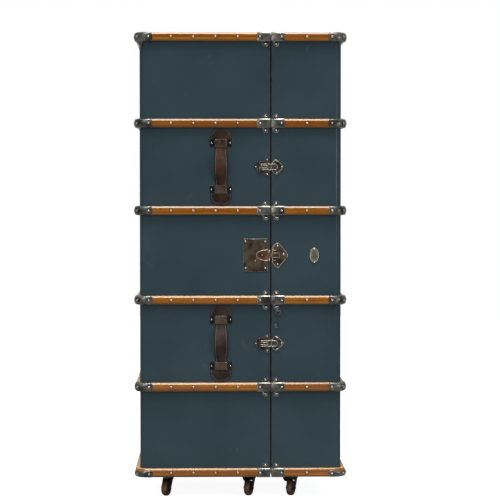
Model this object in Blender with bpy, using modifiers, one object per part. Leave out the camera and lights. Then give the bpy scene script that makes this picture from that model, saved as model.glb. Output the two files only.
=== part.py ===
"""Tall bar trunk on casters: a wide main half and a narrow door half, hinged at the back.

Metres, +Z up. The origin is on the floor under the centre of the case. The front, with the
lock, latches and handles, faces -Y, and the door half is on the +X side.
"""

import math

import bmesh
import bpy
from mathutils import Matrix, Vector

# Case: two plywood shells that meet at an upright split
MAIN_WIDTH = 0.411
DOOR_WIDTH = 0.220
SPLIT_GAP = 0.004
CASE_DEPTH = 0.475
CASE_HEIGHT = 1.400
WALL = 0.012
CORNER_RADIUS = 0.012
FIT = 0.0003  # gap between pieces that touch

# Slat bands: six wooden hoops round the case
SLAT_HEIGHT = 0.027
SLAT_THICKNESS = 0.014
SLAT_ROUND = 0.007
CENTRE_BAY = 0.282  # third to fourth band, centre to centre
INNER_BAY = 0.2745  # second to third band and fourth to fifth

# Casters: a stem, a fork and a wooden wheel that trails the stem
WHEEL_RADIUS = 0.025
WHEEL_WIDTH = 0.020
WHEEL_ROUND = 0.004
WHEEL_STEPS = 18
TRAIL = 0.020
CASTER_YAW = math.radians(-20)
AXLE_RADIUS = 0.003
AXLE_CLEARANCE = 0.0004
FORK_SIDE = 0.003
FORK_SIDE_CLEARANCE = 0.001
FORK_EYE_RADIUS = 0.008
CROWN_RIM = 0.0025  # crown beyond the fork's sides
CROWN_THICKNESS = 0.006
CROWN_CLEARANCE = 0.003  # above the wheel
RACE_RADIUS = 0.012
RACE_HEIGHT = 0.011
STEM_RADIUS = 0.004
STEM_SKIN = 0.004  # wood left above a stem's hole
STEM_CLEARANCE = 0.0004
CASTER_SETBACK = 0.085  # stem to the front or back of the case
CASTER_FROM_SIDE = 0.088  # stem to the closed side of the main half
MAIN_CASTER_FROM_MOUTH = 0.060
DOOR_CASTER_FROM_MOUTH = 0.071

# Back hinges
HINGE_HEIGHT = 0.090
HINGE_LEAF_WIDTH = 0.036
HINGE_LEAF = 0.002
HINGE_BARREL_RADIUS = 0.0055
HINGE_PIN_RADIUS = 0.0028
HINGE_PAST_SLATS = 0.0052  # pin axis behind the slats, so that the door can fold flat
HINGE_WEB = 0.003

# Clearances shared by every pin and knuckle
PIN_CLEARANCE = 0.0003
KNUCKLE_GAP = 0.0006

# Lock and hasp
PLATE = 0.002
LOCK_WIDTH = 0.077
LOCK_HEIGHT = 0.104
LOCK_FROM_MOUTH = 0.008
LOCK_CORNER = 0.004
HASP_PIVOT_INSET = 0.005  # pivot to the middle of the split, on the main side
HASP_LENGTH = 0.038
HASP_HEIGHT = 0.036
HASP_TIP_HEIGHT = 0.020
HASP_THICKNESS = 0.003
HASP_LINK_HEIGHT = 0.017
HASP_LINK_REACH = 0.024  # along the plate
HASP_PLATE_WIDTH = 0.050
HASP_PLATE_HEIGHT = 0.078
HASP_KNUCKLE_RADIUS = 0.0035
HASP_PIN_RADIUS = 0.0016

# Clasps above and below the lock
CLASP_BASE_LENGTH = 0.050
CLASP_BASE_HEIGHT = 0.058
CLASP_BASE_END = 0.012
CLASP_BASE_TIP_RADIUS = 0.005
CLASP_BASE_MARGIN = 0.001  # base beyond its knuckles
CLASP_PIVOT_INSET = 0.036
CLASP_LENGTH = 0.058
CLASP_HEIGHT = 0.020
CLASP_THICKNESS = 0.003
CLASP_KNUCKLE_RADIUS = 0.003
CLASP_OUTER_KNUCKLE = 0.006
CLASP_PIN_RADIUS = 0.0014
CATCH_WIDTH = 0.037
CATCH_HEIGHT = 0.046
EDGE_MARGIN = 0.0015  # plate edge to the mouth of its half

# Leather carrying handles with steel keepers
HANDLE_FROM_MOUTH = 0.155
HANDLE_END_GAP = 0.00475  # strap end to the slat
LOBE_LENGTH = 0.032  # strap beyond a keeper
KEEPER_HEIGHT = 0.024
KEEPER_STEEL = 0.0016
KEEPER_FOOT = 0.016
NECK_WIDTH = 0.033
GRIP_WIDTH = 0.048
LOBE_WIDTH = 0.068
LOBE_TIP_WIDTH = 0.014
LOBE_SHOULDER = 0.001
STRAP_THICKNESS = 0.004
GRIP_THICKNESS = 0.009
GRIP_ARCH = 0.019
STRAP_CLEARANCE = 0.0008
STRAP_TRAVEL = 0.004

# Maker's-plate blank and spare key
PLAQUE_WIDTH = 0.029
PLAQUE_HEIGHT = 0.047
PLAQUE_THICKNESS = 0.0025
PLAQUE_FROM_SIDE = 0.085
KEY_FROM_MOUTH = 0.020
KEY_DROP = 0.021  # nail below the lower edge of the fourth band
KEY_NAIL_RADIUS = 0.0016
KEY_NAIL_LENGTH = 0.009
KEY_NAIL_HEAD_RADIUS = 0.0034
KEY_NAIL_HEAD = 0.0015
KEY_BOW_RADIUS = 0.0072
KEY_WIRE_RADIUS = 0.0014
KEY_LENGTH = 0.050
KEY_BIT_WIDTH = 0.009
KEY_BIT_HEIGHT = 0.010

# Fittings inside the main half
BOARD = 0.012
SHELF_SETBACK = 0.010  # board edge to the mouth of its half
LOWER_SHELF_UP = 0.270  # underside above the case floor
RACK_DROP = 0.042  # rack's upper face under the case ceiling
RACK_SLOTS = 4
RACK_SLOT_WIDTH = 0.014
RACK_SOLID = 0.088  # rack behind the ends of its slots
GLASS_BAY = 0.290  # upper shelf to the rack
DRAWER_CASE_UP = 0.550
DRAWER_CASE_HEIGHT = 0.180
DRAWER_BOARD = 0.010
DRAWER_COUNT = 2
DRAWER_CLEARANCE = 0.001
DRAWER_SIDE = 0.008
DRAWER_FRONT = 0.012
FINGER_NOTCH_RADIUS = 0.018

# Bottle bins inside the door half
BIN_BOARD = 0.010
BIN_FENCE_HEIGHT = 0.100
MIDDLE_BIN_UP = 0.380  # underside above the case floor
UPPER_BIN_UP = 0.790

# Places that follow from the sizes above
LEFT = -(MAIN_WIDTH + SPLIT_GAP + DOOR_WIDTH) / 2
MAIN_MOUTH = LEFT + MAIN_WIDTH
SPLIT = MAIN_MOUTH + SPLIT_GAP / 2
DOOR_MOUTH = MAIN_MOUTH + SPLIT_GAP
RIGHT = DOOR_MOUTH + DOOR_WIDTH
FRONT = -CASE_DEPTH / 2
BACK = CASE_DEPTH / 2
AXLE_HEIGHT = WHEEL_RADIUS * math.cos(math.pi / WHEEL_STEPS)  # the wheel stands on a flat
CROWN_LOW = AXLE_HEIGHT + WHEEL_RADIUS + CROWN_CLEARANCE
CROWN_HIGH = CROWN_LOW + CROWN_THICKNESS
BOTTOM = CROWN_HIGH + RACE_HEIGHT + FIT
TOP = BOTTOM + CASE_HEIGHT
FLOOR = BOTTOM + WALL
CEILING = TOP - WALL
STEM_HOLE_TOP = FLOOR - STEM_SKIN
HINGE_AXIS = Vector((SPLIT, BACK + FIT + SLAT_THICKNESS + HINGE_PAST_SLATS, 0))
HANDLE_LENGTH = INNER_BAY - SLAT_HEIGHT - 2 * HANDLE_END_GAP
KEEPER_SPACING = HANDLE_LENGTH - 2 * LOBE_LENGTH - KEEPER_HEIGHT

# Colours in linear light: (red, green, blue), roughness, metallic
FINISHES = {
    "covering": ((0.033, 0.054, 0.067), 0.55, 0.0),
    "slat_wood": ((0.36, 0.13, 0.022), 0.35, 0.0),
    "aged_brass": ((0.17, 0.12, 0.08), 0.40, 1.0),
    "dark_steel": ((0.10, 0.095, 0.09), 0.40, 1.0),
    "handle_leather": ((0.055, 0.028, 0.020), 0.50, 0.0),
    "wheel_wood": ((0.09, 0.045, 0.015), 0.50, 0.0),
    "shelf_wood": ((0.25, 0.10, 0.035), 0.45, 0.0),
}

for stale in list(bpy.data.objects):
    bpy.data.objects.remove(stale)
trunk = bpy.data.collections.new("bar_trunk")
bpy.context.scene.collection.children.link(trunk)


def finish(name):
    """The Principled material of that name, made once."""
    found = bpy.data.materials.get(name)
    if found:
        return found
    colour, roughness, metallic = FINISHES[name]
    made = bpy.data.materials.new(name)
    made.use_nodes = True
    shader = made.node_tree.nodes["Principled BSDF"]
    shader.inputs["Base Color"].default_value = (*colour, 1)
    shader.inputs["Roughness"].default_value = roughness
    shader.inputs["Metallic"].default_value = metallic
    return made


def axis_empty(name, place, parent=None):
    """An empty on a joint's axis, for the pieces that move with it."""
    empty = bpy.data.objects.new(name, None)
    trunk.objects.link(empty)
    empty.parent = parent
    empty.location = Vector(place) - (parent.location if parent else Vector())
    return empty


def piece(name, mesh, material, origin=(0, 0, 0), parent=None, turn=0.0, smooth=False):
    """A named part whose origin is put at a chosen point. The mesh comes in world coordinates."""
    origin = Vector(origin)
    mesh.transform(Matrix.Translation(-origin))
    return placed(name, mesh, material, origin, parent, turn, smooth)


def placed(name, mesh, material, place, parent=None, turn=0.0, smooth=False):
    """A named part from a mesh that is already drawn about its own origin."""
    if not mesh.materials:
        mesh.materials.append(finish(material))
    if smooth:
        mesh.shade_smooth()
        mesh.set_sharp_from_angle(angle=math.radians(35))
    obj = bpy.data.objects.new(name, mesh)
    trunk.objects.link(obj)
    obj.parent = parent
    obj.location = Vector(place) - (parent.location if parent else Vector())
    obj.rotation_euler.z = turn
    return obj


def baked(obj):
    """The evaluated mesh of a helper object, in world coordinates. The helper is removed."""
    bpy.context.view_layer.update()
    graph = bpy.context.evaluated_depsgraph_get()
    mesh = bpy.data.meshes.new_from_object(obj.evaluated_get(graph))
    mesh.transform(obj.matrix_world)
    bpy.data.objects.remove(obj)
    work = bmesh.new()
    work.from_mesh(mesh)
    bmesh.ops.remove_doubles(work, verts=work.verts, dist=1e-6)
    work.to_mesh(mesh)
    work.free()
    mesh.materials.clear()
    return mesh


def helper(mesh):
    """An object that only carries a mesh through a modifier."""
    obj = bpy.data.objects.new("helper", mesh)
    trunk.objects.link(obj)
    return obj


def block(low, high):
    """Mesh of a box between two corners."""
    low, high = Vector(low), Vector(high)
    work = bmesh.new()
    bmesh.ops.create_cube(work, size=1)
    bmesh.ops.scale(work, vec=high - low, verts=work.verts)
    bmesh.ops.translate(work, vec=(low + high) / 2, verts=work.verts)
    mesh = bpy.data.meshes.new("block")
    work.to_mesh(mesh)
    work.free()
    return mesh


def rod(start, end, radius, sides=12):
    """Mesh of a cylinder between two points."""
    start, end = Vector(start), Vector(end)
    along = end - start
    work = bmesh.new()
    bmesh.ops.create_cone(
        work, cap_ends=True, segments=sides, radius1=radius, radius2=radius, depth=along.length
    )
    mesh = bpy.data.meshes.new("rod")
    work.to_mesh(mesh)
    work.free()
    turn = along.to_track_quat("Z", "Y").to_matrix().to_4x4()
    mesh.transform(Matrix.Translation((start + end) / 2) @ turn)
    return mesh


def combined(first, joined=(), cut=()):
    """One mesh: the first, united with some meshes and cut by others."""
    body = helper(first)
    tools = []
    for operation, meshes in (("UNION", joined), ("DIFFERENCE", cut)):
        for mesh in meshes:
            tool = helper(mesh)
            tools.append(tool)
            boolean = body.modifiers.new(operation.lower(), "BOOLEAN")
            boolean.operation = operation
            boolean.object = tool
    mesh = baked(body)
    for tool in tools:
        bpy.data.objects.remove(tool)
    return mesh


def arc(centre, radius, start_deg, end_deg, steps):
    """Points along an arc, both ends included."""
    points = []
    for i in range(steps + 1):
        angle = math.radians(start_deg + (end_deg - start_deg) * i / steps)
        points.append((centre[0] + radius * math.cos(angle), centre[1] + radius * math.sin(angle)))
    return points


def plate(outline, thickness):
    """Mesh of a flat outline in XY, extruded by its thickness about z = 0."""
    curve = bpy.data.curves.new("outline", "CURVE")
    curve.dimensions = "2D"
    curve.fill_mode = "BOTH"
    curve.extrude = thickness / 2
    spline = curve.splines.new("POLY")
    spline.points.add(len(outline) - 1)
    for point, (x, y) in zip(spline.points, outline):
        point.co = (x, y, 0, 1)
    spline.use_cyclic_u = True
    obj = bpy.data.objects.new("outline", curve)
    trunk.objects.link(obj)
    return baked(obj)


def front_plate(outline, thickness, face):
    """A plate drawn in (x, z) that lies on a face looking towards -Y."""
    mesh = plate(outline, thickness)
    mesh.transform(
        Matrix.Translation((0, face - thickness / 2, 0)) @ Matrix.Rotation(math.pi / 2, 4, "X")
    )
    return mesh


def side_plate(outline, thickness, middle):
    """A plate drawn in (y, z), with its middle plane at an x."""
    mesh = plate(outline, thickness)
    stand = Matrix(((0, 0, 1, 0), (1, 0, 0, 0), (0, 1, 0, 0), (0, 0, 0, 1)))
    mesh.transform(Matrix.Translation((middle, 0, 0)) @ stand)
    return mesh


def swept(path, profile):
    """Mesh of a profile (out, up) drawn along a level path of (x, y), with its out side to the left."""
    section = bpy.data.curves.new("section", "CURVE")
    section.dimensions = "2D"
    ring = section.splines.new("POLY")
    ring.points.add(len(profile) - 1)
    for point, (out, up) in zip(ring.points, profile):
        point.co = (-out, up, 0, 1)
    ring.use_cyclic_u = True
    section_object = bpy.data.objects.new("section", section)
    trunk.objects.link(section_object)
    rail = bpy.data.curves.new("rail", "CURVE")
    rail.dimensions = "2D"
    rail.bevel_mode = "OBJECT"
    rail.bevel_object = section_object
    rail.use_fill_caps = True
    line = rail.splines.new("POLY")
    line.points.add(len(path) - 1)
    for point, (x, y) in zip(line.points, path):
        point.co = (x, y, 0, 1)
    rail_object = bpy.data.objects.new("rail", rail)
    trunk.objects.link(rail_object)
    mesh = baked(rail_object)
    bpy.data.objects.remove(section_object)
    return mesh


def turned(profile, steps):
    """Mesh of a closed profile of (radius, height) points turned about Z."""
    work = bmesh.new()
    ring = [work.verts.new((radius, 0, height)) for radius, height in profile]
    for here, there in zip(ring, ring[1:] + ring[:1]):
        work.edges.new((here, there))
    mesh = bpy.data.meshes.new("profile")
    work.to_mesh(mesh)
    work.free()
    obj = helper(mesh)
    screw = obj.modifiers.new("turn", "SCREW")
    screw.steps = screw.render_steps = steps
    screw.use_merge_vertices = True
    screw.merge_threshold = 0.00001
    mesh = baked(obj)
    work = bmesh.new()
    work.from_mesh(mesh)
    bmesh.ops.recalc_face_normals(work, faces=work.faces)
    work.to_mesh(mesh)
    work.free()
    return mesh


def band_heights():
    """Height of each band's middle, from the top band down."""
    middle = (BOTTOM + TOP) / 2
    steps = [
        (CASE_HEIGHT - SLAT_HEIGHT) / 2,
        CENTRE_BAY / 2 + INNER_BAY,
        CENTRE_BAY / 2,
    ]
    return [middle + step for step in steps] + [middle - step for step in reversed(steps)]


BANDS = band_heights()


def bay_middle(upper_band):
    """Height half way between a band, counted from 1 at the top, and the next one down."""
    return (BANDS[upper_band - 1] + BANDS[upper_band]) / 2


def caster_places():
    """Name and stem position of each caster, and whether it carries the door half."""
    columns = {
        "left": (LEFT + CASTER_FROM_SIDE, False),
        "middle": (MAIN_MOUTH - MAIN_CASTER_FROM_MOUTH, False),
        "door": (DOOR_MOUTH + DOOR_CASTER_FROM_MOUTH, True),
    }
    rows = {"front": FRONT + CASTER_SETBACK, "rear": BACK - CASTER_SETBACK}
    return [
        (f"{row}_{column}", x, y, on_door)
        for row, y in rows.items()
        for column, (x, on_door) in columns.items()
    ]


CASTERS = caster_places()


# Shells: each half is a box with one open side, rounded on its two far upright edges
def shell_outline(closed_x, mouth_x):
    """Plan of one half, with its mouth square and its far corners round."""
    radius = CORNER_RADIUS
    if closed_x < mouth_x:
        near_front = arc((closed_x + radius, FRONT + radius), radius, 270, 180, 4)
        near_back = arc((closed_x + radius, BACK - radius), radius, 180, 90, 4)
    else:
        near_front = arc((closed_x - radius, FRONT + radius), radius, 270, 360, 4)
        near_back = arc((closed_x - radius, BACK - radius), radius, 0, 90, 4)
    return [(mouth_x, FRONT), *near_front, *near_back, (mouth_x, BACK)]


def shell(closed_x, mouth_x, on_door):
    """One half of the case, hollow and open at its mouth, with blind holes for the caster stems."""
    solid = plate(shell_outline(closed_x, mouth_x), CASE_HEIGHT)
    solid.transform(Matrix.Translation((0, 0, (BOTTOM + TOP) / 2)))
    inward = 1 if mouth_x > closed_x else -1
    inner_x = closed_x + inward * WALL
    past_mouth = mouth_x + inward * WALL
    hollow = block(
        (min(inner_x, past_mouth), FRONT + WALL, FLOOR),
        (max(inner_x, past_mouth), BACK - WALL, CEILING),
    )
    holes = [
        rod((x, y, BOTTOM - WALL), (x, y, STEM_HOLE_TOP), STEM_RADIUS + STEM_CLEARANCE)
        for _, x, y, carries_door in CASTERS
        if carries_door == on_door
    ]
    return combined(solid, cut=[hollow, *holes])


# Slat bands
def band_profile():
    """Section of a slat: flat against the case, round on its two outer edges."""
    half, deep = SLAT_HEIGHT / 2, SLAT_THICKNESS
    radius = min(SLAT_ROUND, deep * 0.9, half * 0.9)
    lower = arc((deep - radius, -half + radius), radius, 270, 360, 3)
    upper = arc((deep - radius, half - radius), radius, 0, 90, 3)
    return [(0, -half), *lower, *upper, (0, half)]


def band_path(closed_x, mouth_x):
    """Line round the outside of one half, a fit clear of it, that keeps the outside on its left."""
    radius = CORNER_RADIUS
    bend = radius + FIT
    if closed_x < mouth_x:
        front = arc((closed_x + radius, FRONT + radius), bend, 270, 180, 4)
        back = arc((closed_x + radius, BACK - radius), bend, 180, 90, 4)
        return [(mouth_x, FRONT - FIT), *front, *back, (mouth_x, BACK + FIT)]
    back = arc((closed_x - radius, BACK - radius), bend, 90, 0, 4)
    front = arc((closed_x - radius, FRONT + radius), bend, 360, 270, 4)
    return [(mouth_x, BACK + FIT), *back, *front, (mouth_x, FRONT - FIT)]


def add_bands(half, closed_x, mouth_x, parent=None):
    for number, height in enumerate(BANDS, start=1):
        mesh = swept(band_path(closed_x, mouth_x), band_profile())
        mesh.transform(Matrix.Translation((0, 0, height)))
        origin = parent.location if parent else (0, 0, 0)
        piece(f"{half}_slat_band_{number}", mesh, "slat_wood", origin, parent, smooth=True)


# Hinges and other knuckled pairs
def knuckle_spans(middle_length, outer_length, middle):
    """The three knuckles of a pair, from the lowest up, with a gap between them."""
    edge = middle_length / 2
    far = edge + KNUCKLE_GAP + outer_length
    return [
        (middle - far, middle - edge - KNUCKLE_GAP),
        (middle - edge, middle + edge),
        (middle + edge + KNUCKLE_GAP, middle + far),
    ]


def upright_rod(axis, span, radius):
    """A rod about an upright axis, given by its (x, y)."""
    return rod((*axis, span[0]), (*axis, span[1]), radius)


def pin_between(axis, spans, radius):
    """A pin through all three knuckles that ends just inside the outer ones."""
    return upright_rod(axis, (spans[0][0] + KNUCKLE_GAP, spans[2][1] - KNUCKLE_GAP), radius)


def pin_bore(axis, spans, pin_radius):
    """Cutter for the hole that runs on a pin."""
    return upright_rod(axis, (spans[0][0], spans[2][1]), pin_radius + PIN_CLEARANCE)


def span_block(x_range, y_range, span, inset=0.0):
    """A box between two x, two y and the ends of a knuckle, or an inset inside those ends."""
    low, high = span[0] + inset, span[1] - inset
    return block((min(x_range), min(y_range), low), (max(x_range), max(y_range), high))


def hinge_leaf(height, on_door):
    """One leaf: a plate on the back of the case, webs out to the axis, and knuckles there.

    The main leaf carries the outer knuckles and the pin, the door leaf the middle knuckle.
    """
    side = 1 if on_door else -1
    near = DOOR_MOUTH if on_door else MAIN_MOUTH
    axis = HINGE_AXIS.xy
    third = HINGE_HEIGHT / 3
    spans = knuckle_spans(third, third - KNUCKLE_GAP, height)
    own = [spans[1]] if on_door else [spans[0], spans[2]]
    face = BACK + FIT
    leaf = span_block(
        (near, near + side * HINGE_LEAF_WIDTH), (face, face + HINGE_LEAF), (spans[0][0], spans[2][1])
    )
    root = face + HINGE_LEAF / 2
    parts = [span_block((near + side * HINGE_WEB, axis.x), (root, axis.y), span, FIT) for span in own]
    parts += [upright_rod(axis, span, HINGE_BARREL_RADIUS) for span in own]
    if on_door:
        return combined(leaf, parts, [pin_bore(axis, spans, HINGE_PIN_RADIUS)])
    return combined(leaf, parts + [pin_between(axis, spans, HINGE_PIN_RADIUS)])


# Lock, hasp and clasps on the front
PLATE_FACE = FRONT - FIT - PLATE  # outer face of the fixed plates
TONGUE_FACE = PLATE_FACE - FIT  # inner face of the hasp and clasps


def shield_outline(near_x, width, height, middle):
    """A shield: straight at the split, with a point above, below and at its far side."""
    half = height / 2
    right_half = [(0, 0.62), (0.42, 1.0), (0.72, 0.55), (0.93, 0.22)]
    upper = [(near_x + width * across, middle + half * up) for across, up in right_half]
    lower = [(near_x + width * across, middle - half * up) for across, up in right_half]
    return lower + [(near_x + width, middle)] + upper[::-1]


def tongue_outline(root_x, tip_x, root_height, tip_height, middle):
    """A tongue that narrows from its root to a round end."""
    radius = tip_height / 2
    if tip_x > root_x:
        end = arc((tip_x - radius, middle), radius, -90, 90, 6)
    else:
        end = arc((tip_x + radius, middle), radius, 270, 90, 6)
    return [(root_x, middle - root_height / 2), *end, (root_x, middle + root_height / 2)]


def add_lock_plate():
    middle = bay_middle(3)
    near = MAIN_MOUTH - LOCK_FROM_MOUTH
    far = near - LOCK_WIDTH
    low, high = middle - LOCK_HEIGHT / 2, middle + LOCK_HEIGHT / 2
    corner = LOCK_CORNER
    outline = [
        *arc((near - corner, low + corner), corner, 270, 360, 2),
        *arc((near - corner, high - corner), corner, 0, 90, 2),
        *arc((far + corner, high - corner), corner, 90, 180, 2),
        *arc((far + corner, low + corner), corner, 180, 270, 2),
    ]
    piece("lock_plate", front_plate(outline, PLATE, FRONT - FIT), "aged_brass")


def add_hasp(door):
    """A shield on the door half with a link to its pivot, and the hasp that swings there."""
    middle = bay_middle(3)
    radius = HASP_KNUCKLE_RADIUS
    axis = Vector((SPLIT - HASP_PIVOT_INSET, TONGUE_FACE - radius))
    outer = (HASP_HEIGHT - HASP_LINK_HEIGHT) / 2 - KNUCKLE_GAP
    spans = knuckle_spans(HASP_LINK_HEIGHT, outer, middle)
    near = DOOR_MOUTH + EDGE_MARGIN
    shield = shield_outline(near, HASP_PLATE_WIDTH, HASP_PLATE_HEIGHT, middle)
    link_faces = (axis.y, PLATE_FACE + PLATE / 2)
    link = span_block((axis.x, near + HASP_LINK_REACH), link_faces, spans[1], FIT)
    base = combined(
        front_plate(shield, PLATE, FRONT - FIT),
        [link, upright_rod(axis, spans[1], radius)],
        [pin_bore(axis, spans, HASP_PIN_RADIUS)],
    )
    piece("hasp_plate", base, "aged_brass", door.location, door)
    root_x = axis.x - radius - KNUCKLE_GAP
    outline = tongue_outline(root_x, root_x - HASP_LENGTH, HASP_HEIGHT, HASP_TIP_HEIGHT, middle)
    arm_faces = (TONGUE_FACE - HASP_THICKNESS + FIT, TONGUE_FACE - FIT)
    parts = [pin_between(axis, spans, HASP_PIN_RADIUS)]
    for span in (spans[0], spans[2]):
        parts.append(upright_rod(axis, span, radius))
        parts.append(span_block((root_x - radius, axis.x), arm_faces, span, FIT))
    hasp = combined(front_plate(outline, HASP_THICKNESS, TONGUE_FACE), parts)
    piece("hasp", hasp, "aged_brass", (*axis, middle), door)


def clasp_base_outline(pivot_x, middle):
    """A plate that is tall at the split, narrower at the knuckles and pointed at its far end."""
    near = MAIN_MOUTH - EDGE_MARGIN
    tall = CLASP_BASE_HEIGHT / 2
    neck = CLASP_HEIGHT / 2 + KNUCKLE_GAP + CLASP_OUTER_KNUCKLE + CLASP_BASE_MARGIN
    tip = CLASP_BASE_TIP_RADIUS
    shoulder = near - CLASP_BASE_END
    upper = [
        (near, tall),
        (shoulder, tall),
        (shoulder - (tall - neck), neck),
        (pivot_x - CLASP_KNUCKLE_RADIUS * 2, neck),
    ]
    end = arc((near - CLASP_BASE_LENGTH + tip, middle), tip, 90, 270, 4)
    lower = [(x, middle - up) for x, up in reversed(upper)]
    return [(x, middle + up) for x, up in upper] + end + lower


def add_clasp(name, middle, door):
    """A base with knuckles on the main half, a clasp that swings on it, and a catch on the door half."""
    radius = CLASP_KNUCKLE_RADIUS
    axis = Vector((SPLIT - CLASP_PIVOT_INSET, TONGUE_FACE - radius))
    spans = knuckle_spans(CLASP_HEIGHT, CLASP_OUTER_KNUCKLE, middle)
    parts = [pin_between(axis, spans, CLASP_PIN_RADIUS)]
    for span in (spans[0], spans[2]):
        parts.append(upright_rod(axis, span, radius))
        lug = (axis.x - radius * 0.7, axis.x + radius * 0.7)
        parts.append(span_block(lug, (axis.y, PLATE_FACE + PLATE / 2), span, FIT))
    plain = front_plate(clasp_base_outline(axis.x, middle), PLATE, FRONT - FIT)
    piece(f"{name}_clasp_base", combined(plain, parts), "aged_brass")
    outline = tongue_outline(axis.x, axis.x + CLASP_LENGTH, CLASP_HEIGHT, CLASP_HEIGHT, middle)
    clasp = combined(
        front_plate(outline, CLASP_THICKNESS, TONGUE_FACE),
        [upright_rod(axis, spans[1], radius)],
        [pin_bore(axis, spans, CLASP_PIN_RADIUS)],
    )
    piece(f"{name}_clasp", clasp, "aged_brass", (*axis, middle))
    shield = shield_outline(DOOR_MOUTH + EDGE_MARGIN, CATCH_WIDTH, CATCH_HEIGHT, middle)
    catch = front_plate(shield, PLATE, FRONT - FIT)
    piece(f"{name}_clasp_catch", catch, "aged_brass", door.location, door)


# Leather handles
NECK_START = KEEPER_SPACING / 2 - KEEPER_HEIGHT / 2 - STRAP_TRAVEL - STRAP_CLEARANCE
LOBE_START = KEEPER_SPACING / 2 + KEEPER_HEIGHT / 2 + FIT  # the upper lobe hangs on its keeper
LOBE_FULL = LOBE_START + LOBE_SHOULDER


def strap_width(height):
    """Half width of the strap at a height from its middle: grip, neck, then a round lobe."""
    reach = abs(height)
    if reach > LOBE_START:
        share = max(0.0, reach - LOBE_FULL) / (HANDLE_LENGTH / 2 - LOBE_FULL)
        return max(LOBE_TIP_WIDTH, LOBE_WIDTH * math.sqrt(max(0.0, 1 - share**2.4))) / 2
    if reach > NECK_START:
        return NECK_WIDTH / 2
    swell = math.cos(reach / NECK_START * math.pi / 2) ** 0.8
    return (NECK_WIDTH + (GRIP_WIDTH - NECK_WIDTH) * swell) / 2


def strap_depths(height):
    """Distance of the strap's inner and outer faces from the case, at a height from its middle."""
    rise = math.cos(min(1.0, abs(height) / NECK_START) * math.pi / 2) ** 2
    inner = FIT + GRIP_ARCH * rise
    return inner, inner + STRAP_THICKNESS + (GRIP_THICKNESS - STRAP_THICKNESS) * rise


def strap_rows():
    """Heights at which the strap's outline and depth are set, from the lowest up."""
    lobe = HANDLE_LENGTH / 2 - LOBE_FULL
    upper = [NECK_START * share for share in (0.25, 0.5, 0.72, 0.88, 1.0)]
    upper += [LOBE_START, LOBE_FULL]
    upper += [LOBE_FULL + lobe * share for share in (0.3, 0.55, 0.75, 0.9, 1.0)]
    return [-row for row in reversed(upper)] + [0.0] + upper


def strap_mesh(middle_x, middle_z):
    """The strap as a grid laid over its outline, extruded back to its inner face."""
    rows = strap_rows()
    columns = 4
    work = bmesh.new()
    bmesh.ops.create_grid(work, x_segments=columns, y_segments=len(rows) - 1, size=1)
    for vert in work.verts:
        row = rows[round((vert.co.y + 1) / 2 * (len(rows) - 1))]
        across = vert.co.x
        outer = strap_depths(row)[1]
        edge_drop = (outer - strap_depths(row)[0]) * 0.35 * abs(across) ** 3
        vert.co = (middle_x + across * strap_width(row), FRONT - outer + edge_drop, middle_z + row)
    inner = bmesh.ops.extrude_face_region(work, geom=work.faces[:])
    for vert in inner["geom"]:
        if isinstance(vert, bmesh.types.BMVert):
            vert.co.y = FRONT - strap_depths(vert.co.z - middle_z)[0]
    bmesh.ops.recalc_face_normals(work, faces=work.faces)
    mesh = bpy.data.meshes.new("strap")
    work.to_mesh(mesh)
    work.free()
    return mesh


def keeper_outline(middle_x):
    """Plan of a keeper: two feet on the case and a bridge over the strap's neck."""
    inner = NECK_WIDTH / 2 + STRAP_CLEARANCE
    foot = inner + KEEPER_STEEL + KEEPER_FOOT
    base = FRONT - FIT
    under = FRONT - FIT - STRAP_THICKNESS - STRAP_CLEARANCE
    half = [
        (foot, base),
        (foot, base - KEEPER_STEEL),
        (inner + KEEPER_STEEL, base - KEEPER_STEEL),
        (inner + KEEPER_STEEL, under - KEEPER_STEEL),
    ]
    inside = [(inner, under), (inner, base)]
    right = [(middle_x + x, y) for x, y in half]
    left = [(middle_x - x, y) for x, y in reversed(half)]
    under_left = [(middle_x - x, y) for x, y in reversed(inside)]
    under_right = [(middle_x + x, y) for x, y in inside]
    return right + left + under_left + under_right


def add_handle(name, middle_z):
    middle_x = MAIN_MOUTH - HANDLE_FROM_MOUTH
    strap = strap_mesh(middle_x, middle_z)
    piece(f"{name}_handle_strap", strap, "handle_leather", (middle_x, FRONT, middle_z), smooth=True)
    for end, side in (("upper", 1), ("lower", -1)):
        mesh = plate(keeper_outline(middle_x), KEEPER_HEIGHT)
        lift = 0.0 if side > 0 else STRAP_TRAVEL
        height = middle_z + side * KEEPER_SPACING / 2 + lift
        mesh.transform(Matrix.Translation((0, 0, height)))
        piece(f"{name}_handle_{end}_keeper", mesh, "aged_brass")


# Plaque and key on the door half
def plaque_outline(middle_x, middle_z):
    """An upright oval with a soft point at its foot."""
    points = []
    for step in range(16):
        angle = math.tau * step / 16
        narrowing = 1 - 0.18 * max(0.0, -math.sin(angle)) ** 2
        points.append(
            (
                middle_x + PLAQUE_WIDTH / 2 * math.cos(angle) * narrowing,
                middle_z + PLAQUE_HEIGHT / 2 * math.sin(angle),
            )
        )
    return points


def add_plaque(door):
    outline = plaque_outline(RIGHT - PLAQUE_FROM_SIDE, bay_middle(3))
    mesh = front_plate(outline, PLAQUE_THICKNESS, FRONT - FIT)
    piece("blank_plaque", mesh, "aged_brass", door.location, door)


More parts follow.
